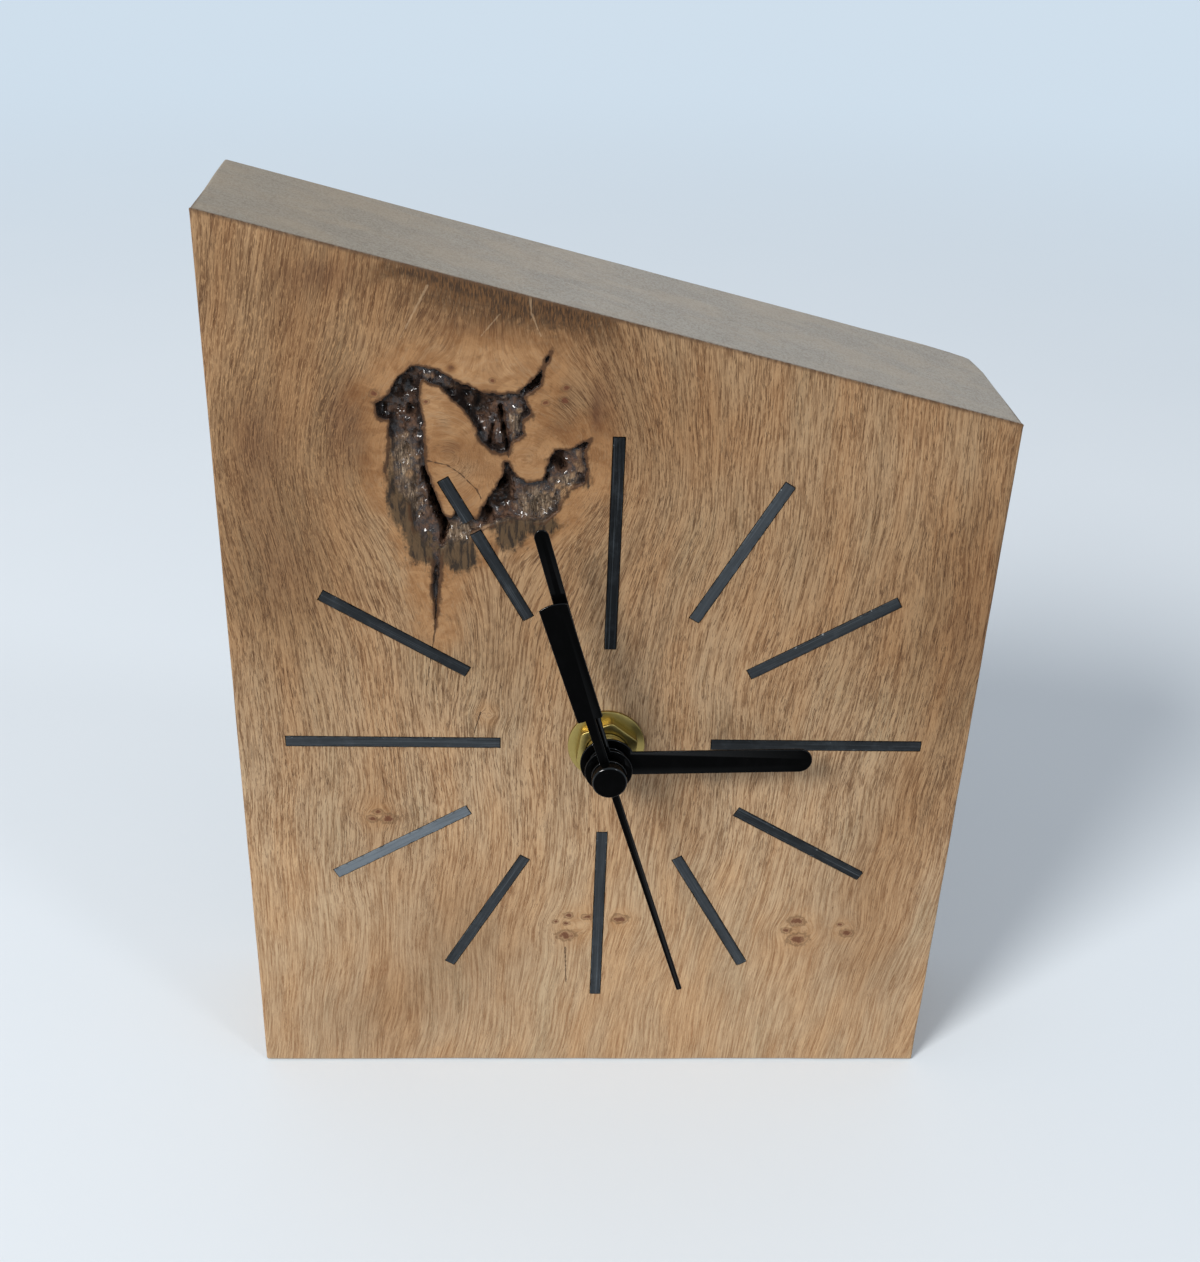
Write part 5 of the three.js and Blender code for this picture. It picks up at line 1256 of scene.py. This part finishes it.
def enamel_material(settings):
    """Satin black enamel on stamped metal: faint orange peel and soft spots."""
    material, w, shader = new_material("satin_black", roughness=0.34, Specular_IOR_Level=0.02, Coat_Roughness=0.09)
    fine = w.group(groups()["Fine surface"], Place=w.place(), Grain_Size=0.35)
    w.surface(shader, Base_Color=w.mix(w.times(fine["Spot"], 0.5), settings.black, TONES["worn enamel"]),
              Roughness=w.ramp(fine["Grain"], 0.3, 0.7, 0.28, 0.4), Coat_Weight=w.times(w.attribute("turned"), 0.85),
              Normal=w.bump(fine["Grain"], 0.01, 0.4))
    return material


def mark_turned(piece):
    """Marks where a surface turns away from the dial's plane: nought on the flats, one on rounded edges, little on
    walls."""
    normals = np.empty(3 * len(piece.data.vertices), np.float32)
    piece.data.vertices.foreach_get("normal", normals)
    facing = np.abs(normals[1::3])
    mark(piece.data, "turned", smooth(0.985, 0.8, facing) * (0.15 + 0.85 * smooth(0.1, 0.45, facing)))


def blade_half(length, width, eye, tip_steps=20, eye_steps=48):
    """Right half of a blade's outline, from the tip down round the eye: a half disc, a straight side, an arc."""
    half = width / 2
    tip = np.linspace(np.pi / 2, 0, tip_steps)
    rounded = np.stack([half * np.cos(tip), length - half + half * np.sin(tip)], axis=-1)
    start = math.asin(half / eye)
    arc = np.linspace(start, np.pi, eye_steps)
    return np.concatenate([rounded, np.stack([eye * np.sin(arc), eye * np.cos(arc)], axis=-1)])


def needle_half(length, root, tip, eye, neck, weight):
    """Right half of the second hand: needle, eye, neck and counterweight, from the tip down to the end."""
    arc = np.linspace(math.asin(root / 2 / eye), np.pi - math.asin(neck / 2 / eye), 32)
    start, end, inner, outer, bulge = weight
    bow = np.linspace(outer / 2, 0, 8)
    foot = np.stack([bow, -end - bulge * (1 - (2 * bow / outer) ** 2)], axis=-1)
    return np.concatenate([[(0, length), (tip / 2 - 0.15, length), (tip / 2, length - 0.15)],
                           np.stack([eye * np.sin(arc), eye * np.cos(arc)], axis=-1),
                           [(neck / 2, -start), (inner / 2 - 0.2, -start), (inner / 2, -start - 0.2)], foot])


def inset(outline, distance):
    """A closed outline moved inwards along the mean of its neighbouring sides' normals."""
    before, after = outline - np.roll(outline, 1, axis=0), np.roll(outline, -1, axis=0) - outline
    unit = lambda v: v / np.maximum(np.linalg.norm(v, axis=1, keepdims=True), 1e-9)
    normal = lambda v: np.stack([-v[:, 1], v[:, 0]], axis=-1)
    mean = normal(unit(before)) + normal(unit(after))
    square = np.maximum((mean * mean).sum(axis=1, keepdims=True), 0.5)
    return outline + distance * 2 * mean / square


def plate(half, bore, front, back, ease, steps=SHORT_TURN):
    """A flat blade with eased edges: the outline and the bore each carried through inset rings, and each flat made
    of two faces that meet on the middle line."""
    right = half[::-1]
    outline = np.concatenate([right, half[1:-1] * (-1, 1)])
    angle = whole_turn(steps)
    ring = np.stack([bore * np.sin(angle), bore * np.cos(angle)], axis=-1)
    arc = [(ease * (1 - math.sin(a)), ease * (1 - math.cos(a))) for a in np.linspace(0, np.pi / 2, 4)]
    levels = [(1.5 * ease, front)] + [(inward, front + deep) for inward, deep in arc]
    levels += [(inward, back - deep) for inward, deep in arc[::-1]] + [(1.5 * ease, back)]
    points = np.concatenate([outline_rows([(y, inset(outline, inward)) for inward, y in levels]),
                             outline_rows([(y, ring * (1 + inward / bore)) for inward, y in levels])])
    count, middle, last = len(outline), len(right) - 1, len(levels) - 1
    faces = [tuple(quad[::-1]) for quad in grid_faces(len(levels), count)]
    faces += [tuple(quad) for quad in grid_faces(len(levels), steps, start=len(levels) * count)]
    for level, turn in ((0, -1), (last, 1)):
        outer, inner = level * count, len(levels) * count + level * steps
        right_side = [outer + k for k in range(middle + 1)] + [inner + k for k in range(steps // 2 + 1)]
        left_side = [outer + k % count for k in range(middle, count + 1)]
        left_side += [inner + k % steps for k in range(steps // 2, steps + 1)]
        faces += [tuple(right_side[::turn]), tuple(left_side[::turn])]
    return points, faces


def build_hands(settings):
    """The blades, the needle, the two collars and the cap, each marked where it turns from the dial's plane."""
    material = enamel_material(settings)

    def blade(name, node, body, half, bore, rise, thickness, degrees):
        """One plate turned to its hour."""
        points, faces = plate(half, bore, ahead(rise + thickness), ahead(rise), settings.plate_ease / MM)
        mark_turned(make_piece(name, turn_to(points, degrees), faces, material, body, "satin_black", [node], sharp=50))

    for name, node, body, length, width, eye, *rest in BLADES:
        blade(name, node, body, blade_half(length, width, eye), *rest)
    blade("second_needle", "second_hand", "second_body", needle_half(**NEEDLE), *NEEDLE_FIT)
    for name, node, body, bore, rise in COLLARS:
        wall, flange = bore + COLLAR["wall"], bore + COLLAR["flange"]
        head, step, tail = rise + COLLAR["head"], rise - COLLAR["step"], rise - COLLAR["tail"]
        section = [(bore, rise), (bore, head), (wall, head), (wall, rise), (flange, rise), (flange, step), (wall, step),
                   (wall, tail), (bore, tail), (bore, rise)]
        collar = eased([(radius, ahead(plane)) for radius, plane in section], COLLAR["ease"])
        mark_turned(make_piece(name, *lathe(collar, AXIS), material, body, "satin_black", [node]))
    cap = lathe(eased([(radius, ahead(rise)) for radius, rise in CAP_SECTION], 0.2, 5), AXIS)
    mark_turned(make_piece("second_cap", *cap, material, "second_body", "satin_black", ["second_hand_cap"]))


def moulded_material(name, shade, grain, roughness, relief=0.02):
    """Moulded plastic: a fine spark-eroded grain, faint flow marks and a few dusty spots."""
    material, w, shader = new_material(name, roughness=roughness)
    place = w.place()
    fine = w.group(groups()["Fine surface"], Place=place, Grain_Size=grain)
    flow = w.noise(place, (0.12, 0.12, 0.03), detail=3)
    lighter = tuple(min(1.0, c * 1.35 + 0.012) for c in shade)
    colour = w.layers(shade, (w.ramp(flow, 0.35, 0.7, 0.0, 0.4), lighter), (w.times(fine["Spot"], 0.25), lighter))
    w.surface(shader, Base_Color=colour, Normal=w.bump(fine["Grain"], relief, 0.6),
              Roughness=w.ramp(fine["Grain"], 0.3, 0.7, roughness - 0.07, roughness + 0.1))
    return material


def metal_material(name, shade, roughness, along=(0.4, 6.0, 6.0)):
    """Rolled metal: brushed lines along one direction and faint stains."""
    material, w, shader = new_material(name, metallic=1.0, roughness=roughness)
    place = w.place()
    lines = w.noise(place, along, detail=4, roughness=0.6)
    stain = w.noise(place, (0.25, 0.25, 0.25), detail=3)
    darker = tuple(c * 0.6 for c in shade)
    w.surface(shader, Base_Color=w.mix(w.ramp(stain, 0.4, 0.8, 0.0, 0.5), shade, darker),
              Roughness=w.ramp(lines, 0.3, 0.7, roughness - 0.08, roughness + 0.14), Normal=w.bump(lines, 0.01, 0.6))
    return material


def wire_material(settings):
    """Enamelled wire laid in close turns round the core: a sine wave along the coil, one wave to each turn, with
    painted shade in the grooves between the turns.
    """
    material, w, shader = new_material("copper_wire", metallic=1.0, roughness=0.3)
    place = w.place()
    axes = w.outputs("ShaderNodeSeparateXYZ", place)
    turns = w.math("SINE", w.times(axes["X"], 2 * math.pi / WIRE_PITCH))
    wander = w.noise(place, (0.5, 0.5, 0.5), detail=3)
    copper = w.mix(w.ramp(wander, 0.3, 0.7), settings.copper, TONES["copper pale"])
    # Darker between the turns: painted shade in the grooves.
    w.surface(shader, Base_Color=w.mix(w.ramp(turns, -1.0, 0.2, 0.55, 0.0), copper, TONES["painted wire gap shade"]),
              Normal=w.bump(turns, 0.05, 0.8))
    return material


def board_material(settings):
    """Coated board with pale tracks and bright pads on a square pattern."""
    material, w, shader = new_material("board_green", roughness=0.35)
    place = w.place()
    black, white = (0, 0, 0, 1), (1, 1, 1, 1)
    upright = w.node("ShaderNodeVectorRotate", inputs={"Vector": place, "Angle": math.pi / 2}, rotation_type="X_AXIS")
    tracks = w.node("ShaderNodeTexBrick", inputs={
        "Vector": upright, "Scale": 0.35, "Mortar Size": 0.03, "Mortar Smooth": 0.1, "Color1": black, "Color2": black,
        "Mortar": white})
    mottled = w.noise(place, (0.6, 0.6, 0.6), detail=3)
    colour = w.layers(settings.board, (w.ramp(mottled, 0.3, 0.7, 0.0, 0.4), TONES["board pale"]),
                      (w.times(tracks, 0.5), TONES["track"]))
    w.surface(shader, Base_Color=colour, Normal=w.bump(tracks, 0.05, 0.5))
    return material


def dress(material, *names):
    """Gives CAD pieces, which keep their own shape, a material."""
    for name in names:
        for slot in NODES[name].material_slots:
            slot.link, slot.material = "OBJECT", material


def finish_works(metal, plastic):
    """Finishes the wheels and plates, the motor and the electronics."""
    dress(brass_material(metal), "hour_wheel")
    dress(moulded_material("gear_plastic", plastic.gear, 0.3, 0.4), "middle_plate", "rear_plate", "minute_wheel",
          "second_wheel", "third_wheel", "intermediate_wheel", "rotor_pinion", "motion_wheel", "setting_arbor",
          "coil_bobbin")
    dress(metal_material("magnet_steel", TONES["magnet"], 0.4), "rotor_magnet")
    dress(metal_material("stator_steel", tuple(metal.steel), 0.3), "stator", "coil_core", "quartz_crystal")
    dress(wire_material(metal), "coil_winding")
    dress(board_material(plastic), "circuit_board")
    dress(moulded_material("chip_resin", TONES["resin"], 0.5, 0.5), "timing_chip")
    dress(moulded_material("gasket_rubber", plastic.rubber, 0.4, 0.8, 0.03), "rubber_gasket")


def tray(outer, inner, floor, inside, rim, ease):
    """An open tray: outlines of one count carried up the outside, over the eased rim and down the inside, as outer
    (1 - share) + inner share, with a flat over the first and over the last."""
    levels = [(0.06, floor), (0.0, floor + 0.25), (0.0, rim - ease), (0.08, rim - 0.3 * ease), (0.25, rim), (0.75, rim),
              (0.92, rim - 0.3 * ease), (1.0, rim - ease), (1.0, inside)]
    rows = [(y, outer * (1 - share) + inner * share) for share, y in levels]
    return outline_rows(rows), capped_faces(len(rows), len(outer))


def build_case(settings):
    """The case: a tray with a stepped partition over the battery bay and ribs on the bay's floor, and its cover."""
    material = moulded_material("case_plastic", settings.case, 0.28, 0.42, 0.03)
    x, wall, corner, inside = CASE["x"], CASE["wall"], CASE["corner"], CASE["inside"]
    z0, z1 = CASE["z"]
    outer = round_rect(-x, x, z0, z1, corner, 10)
    inner = round_rect(-x + wall, x - wall, z0 + wall, z1 - wall, corner - wall, 10)
    parts = [tray(outer, inner, CASE["floor"], inside, CASE["rim"], 0.35),
             rounded_box((-x + wall - SINK_SIDE, inside - SINK_FLOOR, BAY_TOP),
                         (x - wall + SINK_SIDE, STEP_Y, PARTITION_TOP), 0.15),
             rounded_box((-STEP_HALF, STEP_Y - STEP_OVERLAP, BAY_TOP), (STEP_HALF, COVER["y"][0], PARTITION_TOP), 0.15)]
    parts += [rounded_box((rib - RIB_HALF, inside - SINK_FLOOR, z0 + wall - 0.2),
                          (rib + RIB_HALF, inside + RIB_RISE, BAY_TOP + 0.1), 0.05) for rib in BAY_RIBS]
    make_piece("case_moulding", *joined(parts), material, "clock_body", "case_plastic", ["movement_case"])
    build_cover(material)


def build_cover(material):
    """The cover: a flat with an eased rim, a sunk disc round the knob's arbor and a finger groove over the bay."""
    x, (z0, z1), corner, ease = COVER["x"], COVER["z"], COVER["corner"], COVER["ease"]
    low, high = COVER["y"]
    outline = round_rect(-x, x, z0, z1, corner, 10)
    thin = round_rect(-x + ease, x - ease, z0 + ease, z1 - ease, corner - ease, 10)
    rows = [(low, thin), (low + 0.2, outline), (high - ease, outline), (high - 0.08, 0.5 * (thin + outline)),
            (high, thin)]
    piece = make_piece("cover_moulding", outline_rows(rows), capped_faces(len(rows), len(outline)), material,
                       "clock_body", "case_plastic", ["movement_cover"])
    for shape, start in ((circle(KNOB["place"], ARBOR_HOLE), low - 1.0),
                         (circle(KNOB["place"], DISC_RADIUS), high - DISC_DEPTH),
                         (round_rect(*FINGER_GROOVE, 8), high - FINGER_DEPTH)):
        carve(piece, *pillar(shape, start, high + 1.0))
    piece.data.set_sharp_from_angle(angle=math.radians(40))


def build_knob(settings):
    """The knob: rings round its arbor from front to back, whose radius loses flute = depth ((1 - cos n a) / 2)^1.5 in
    the grip, and a bore closed at its end."""
    material = moulded_material("knob_plastic", settings.case, 0.3, 0.36)
    front, back, radius, bore = KNOB["front"], KNOB["back"], KNOB["radius"], KNOB["bore"]
    steps = KNOB["flutes"] * 12
    angle = whole_turn(steps)
    flute = KNOB["flute"] * (0.5 - 0.5 * np.cos(angle * KNOB["flutes"])) ** 1.5
    # Radius, plane and the flutes' share there; the last ring is the bore's end.
    levels = [(bore, front, 0), (5.3, front, 0), (5.85, front + 0.15, 0.5), (radius, front + 0.45, 1),
              (radius, back - 0.5, 1), (5.8, back - 0.12, 0.6), (5.2, back, 0), (3.6, back, 0), (3.3, back - 0.35, 0),
              (1.0, back - 0.45, 0), (bore, back - 1.0, 0)]
    points = turned_rows(KNOB["place"], [(y, r - share * flute) for r, y, share in levels], angle)
    end = len(levels) - 1
    faces = [tuple(quad) for quad in grid_faces(end, steps)] + [tuple(range((end - 1) * steps, end * steps))]
    faces += closing_faces(end, steps) + [tuple(range((end + 1) * steps - 1, end * steps - 1, -1))]
    make_piece("knob_fluted", points, faces, material, "setting_body", "case_plastic", ["setting_knob"])


def cell_material(settings):
    """Printed sleeve with a metallic band, bare steel ends and a faint seam, by the place along the cell."""
    material, w, shader = new_material("battery_sleeve", roughness=0.32, Coat_Weight=0.4, Coat_Roughness=0.1)
    place = w.place()
    along = w.outputs("ShaderNodeSeparateXYZ", place)["X"]
    fine = w.group(groups()["Fine surface"], Place=place, Grain_Size=0.2)
    band = w.ramp(along, -8.6, -8.9)
    line = w.times(w.ramp(along, -7.9, -8.0), w.ramp(along, -8.35, -8.25))
    steel = w.math("MAXIMUM", w.ramp(along, -23.7, -23.75), w.ramp(along, 24.8, 24.85))
    colour = w.layers(settings.sleeve, (band, settings.band), (line, TONES["cell line"]), (steel, TONES["cell steel"]),
                      (w.times(fine["Spot"], 0.2), TONES["cell scuff"]))
    w.surface(shader, Base_Color=colour, Metallic=w.math("MAXIMUM", steel, w.times(band, 0.6)),
              Roughness=w.ramp(fine["Grain"], 0.3, 0.7, 0.26, 0.38), Normal=w.bump(fine["Grain"], 0.01, 0.4))
    return material


def build_battery(settings):
    """The cell: its section turned round its length, x = place along it, y and z = the ring's two sides."""
    ends = {"raised": -CELL["end"], "flat": CELL["end"]}
    profile = [(radius, ends[end] + inward) for radius, end, inward in CELL_SECTION]
    points, faces = lathe(eased(profile, 0.3, 4), (0.0, 0.0))
    points = np.stack([points[:, 1], CELL["y"] - points[:, 0], CELL["z"] + points[:, 2]], axis=-1)
    make_piece("cell_sleeved", points, faces, cell_material(settings), "battery_body", "battery_sleeve", ["battery"])


def build_contacts(settings):
    """The contacts keep their CAD shape and get a nickelled finish."""
    material = metal_material("contact_steel", tuple(settings.steel), 0.24, (6.0, 0.4, 6.0))
    dress(material, "contact_negative", "contact_positive")


def build_camera():
    """A camera from its place, yaw to the right, pitch down and roll, with the picture's centre moved off the lens."""
    yaw, pitch, roll = (math.radians(a) for a in (CAMERA_YAW, CAMERA_PITCH, CAMERA_ROLL))
    right = np.array([math.cos(yaw), -math.sin(yaw), 0])
    forward = np.array([math.sin(yaw) * math.cos(pitch), math.cos(yaw) * math.cos(pitch), -math.sin(pitch)])
    up = np.array([math.sin(yaw) * math.sin(pitch), math.cos(yaw) * math.sin(pitch), math.cos(pitch)])
    across = right * math.cos(roll) + up * math.sin(roll)
    upward = up * math.cos(roll) - right * math.sin(roll)
    data = bpy.data.cameras.new("photo_camera")
    data.sensor_fit, data.sensor_width = "AUTO", SENSOR
    data.lens = FOCAL_PIXELS / LONG_SIDE * SENSOR
    data.shift_x = (SHORT_SIDE / 2 - CENTRE_PIXEL[0]) / LONG_SIDE
    data.shift_y = (CENTRE_PIXEL[1] - LONG_SIDE / 2) / LONG_SIDE
    data.clip_start, data.clip_end = 0.01, 20.0
    camera = link_object("photo_camera", data)
    camera.matrix_world = Matrix.Translation(CAMERA_PLACE) @ Matrix((across, upward, -forward)).transposed().to_4x4()
    bpy.context.scene.camera = camera


def area_light(name, place, size, power, colour):
    """A round light of a given size that faces the clock's middle; lengths in metres."""
    data = bpy.data.lights.new(name, "AREA")
    data.shape, data.size, data.energy, data.color = "DISK", size, power, colour
    back = np.array(place) - np.array(LIGHT_TARGET)
    back /= np.linalg.norm(back)
    side = np.cross((0, 0, 1), back)
    side /= np.linalg.norm(side)
    turn = Matrix((side, np.cross(back, side), back)).transposed().to_4x4()
    link_object(name, data).matrix_world = Matrix.Translation(place) @ turn


def floor_material(settings):
    """A pale matt floor that fades into the backdrop's own light with distance."""
    material, w, shader = new_material("pale_floor", roughness=0.75)
    shade = w.noise(w.place(), (0.01, 0.01, 0.01), detail=2)
    far = w.times(w.seen(), w.ramp(w.vector("LENGTH", w.place(), out=1), 260.0, 1300.0))
    pale = w.mix(w.ramp(shade, 0.3, 0.7, 0.0, 0.15), settings.floor, TONES["floor pale"])
    w.surface(shader, Base_Color=w.mix(far, pale, (0.0, 0.0, 0.0)), Emission_Strength=1.0,
              Emission_Color=w.mix(far, (0.0, 0.0, 0.0), settings.backdrop))
    return material


def build_stage(settings):
    """The floor, the room, the two windows' light and the camera."""
    angle = whole_turn(LONG_TURN)
    mesh = bpy.data.meshes.new("pale_floor")
    mesh.from_pydata(np.stack([FLOOR_RADIUS * np.cos(angle), FLOOR_RADIUS * np.sin(angle),
                               np.full(LONG_TURN, FLOOR_HEIGHT)], axis=-1), [], [tuple(range(LONG_TURN))])
    mesh.materials.append(floor_material(settings))
    floor = link_object("pale_floor", mesh)
    world = bpy.data.worlds.new("pale_room")
    bpy.context.scene.world = world
    world.use_nodes = True
    w = Wiring(world.node_tree)
    w.tree.nodes.clear()
    light = w.node("ShaderNodeBackground", inputs={"Color": TONES["room"], "Strength": settings.fill})
    wall = w.node("ShaderNodeBackground", inputs={"Color": settings.backdrop, "Strength": 1.0})
    mixed = w.node("ShaderNodeMixShader", inputs={0: w.seen(), 1: light, 2: wall})
    w.feed(w.tree.nodes.new("ShaderNodeOutputWorld").inputs["Surface"], mixed)
    area_light("window", (-1.75, -1.9, 1.75), 1.0, settings.key, (1.0, 0.985, 0.96))
    area_light("far_window", (1.5, -1.6, 2.0), 0.5, 0.09 * settings.key, (0.94, 0.97, 1.0))
    build_camera()
    bpy.context.scene.view_settings.view_transform = "Standard"


class CLOCK_OT_oak_block(bpy.types.Operator):
    """Build the oak block with its knot, grooves, shaft hole and pocket"""

    bl_idname, bl_label, bl_options = "clock.oak_block", "Oak block", {"REGISTER", "UNDO"}

    def execute(self, context):
        build_oak_block(context.scene.clock_oak)
        return {"FINISHED"}


class CLOCK_OT_batons(bpy.types.Operator):
    """Build the inlaid hour batons"""

    bl_idname, bl_label, bl_options = "clock.batons", "Hour batons", {"REGISTER", "UNDO"}

    def execute(self, context):
        build_batons(context.scene.clock_batons)
        return {"FINISHED"}


class CLOCK_OT_fixings(bpy.types.Operator):
    """Build the brass washer, nut and threaded bush"""

    bl_idname, bl_label, bl_options = "clock.fixings", "Brass fixings", {"REGISTER", "UNDO"}

    def execute(self, context):
        build_fixings(context.scene.clock_metal)
        return {"FINISHED"}


class CLOCK_OT_hands(bpy.types.Operator):
    """Build the three hands with their collars and cap"""

    bl_idname, bl_label, bl_options = "clock.hands", "Hands", {"REGISTER", "UNDO"}

    def execute(self, context):
        build_hands(context.scene.clock_metal)
        return {"FINISHED"}


class CLOCK_OT_case(bpy.types.Operator):
    """Build the movement's case and cover"""

    bl_idname, bl_label, bl_options = "clock.case", "Movement case", {"REGISTER", "UNDO"}

    def execute(self, context):
        build_case(context.scene.clock_plastic)
        return {"FINISHED"}


class CLOCK_OT_knob(bpy.types.Operator):
    """Build the fluted setting knob"""

    bl_idname, bl_label, bl_options = "clock.knob", "Setting knob", {"REGISTER", "UNDO"}

    def execute(self, context):
        build_knob(context.scene.clock_plastic)
        return {"FINISHED"}


class CLOCK_OT_battery(bpy.types.Operator):
    """Build the battery"""

    bl_idname, bl_label, bl_options = "clock.battery", "Battery", {"REGISTER", "UNDO"}

    def execute(self, context):
        build_battery(context.scene.clock_plastic)
        return {"FINISHED"}


class CLOCK_OT_contacts(bpy.types.Operator):
    """Finish the battery contacts"""

    bl_idname, bl_label, bl_options = "clock.contacts", "Contacts", {"REGISTER", "UNDO"}

    def execute(self, context):
        build_contacts(context.scene.clock_metal)
        return {"FINISHED"}


class CLOCK_OT_works(bpy.types.Operator):
    """Finish the wheels, plates, motor and electronics"""

    bl_idname, bl_label, bl_options = "clock.works", "Works", {"REGISTER", "UNDO"}

    def execute(self, context):
        finish_works(context.scene.clock_metal, context.scene.clock_plastic)
        return {"FINISHED"}


class CLOCK_OT_stage(bpy.types.Operator):
    """Build the floor, backdrop, light and camera"""

    bl_idname, bl_label, bl_options = "clock.stage", "Stage", {"REGISTER", "UNDO"}

    def execute(self, context):
        build_stage(context.scene.clock_stage)
        return {"FINISHED"}


OPERATORS = (CLOCK_OT_oak_block, CLOCK_OT_batons, CLOCK_OT_fixings, CLOCK_OT_hands, CLOCK_OT_case, CLOCK_OT_knob,
             CLOCK_OT_battery, CLOCK_OT_contacts, CLOCK_OT_works, CLOCK_OT_stage)
SETTINGS = {"clock_oak": OakSettings, "clock_batons": BatonSettings, "clock_metal": MetalSettings,
            "clock_plastic": PlasticSettings, "clock_stage": StageSettings}


class CLOCK_PT_panel(bpy.types.Panel):
    """Sizes, colours and build buttons"""

    bl_idname, bl_label = "CLOCK_PT_panel", "Desk clock"
    bl_space_type, bl_region_type, bl_category = "VIEW_3D", "UI", "Clock"

    def draw(self, context):
        """Lists every setting, then one button for each operator."""
        for name, group in SETTINGS.items():
            column = self.layout.column(align=True)
            column.label(text=group.__name__)
            for key in group.__annotations__:
                column.prop(getattr(context.scene, name), key)
        for operator in OPERATORS:
            self.layout.operator(operator.bl_idname)


def register():
    """Registers the classes and gives the scene its settings."""
    for item in (*SETTINGS.values(), *OPERATORS, CLOCK_PT_panel):
        bpy.utils.register_class(item)
    for name, group in SETTINGS.items():
        setattr(bpy.types.Scene, name, PointerProperty(type=group))


def unregister():
    """Takes away what register adds, last first."""
    for name in SETTINGS:
        delattr(bpy.types.Scene, name)
    for item in (CLOCK_PT_panel, *OPERATORS[::-1], *list(SETTINGS.values())[::-1]):
        bpy.utils.unregister_class(item)


def main():
    """Builds every piece and the stage in order."""
    register()
    for operator in OPERATORS:
        group, name = operator.bl_idname.split(".")
        getattr(getattr(bpy.ops, group), name)()


if __name__ == "__main__":
    main()
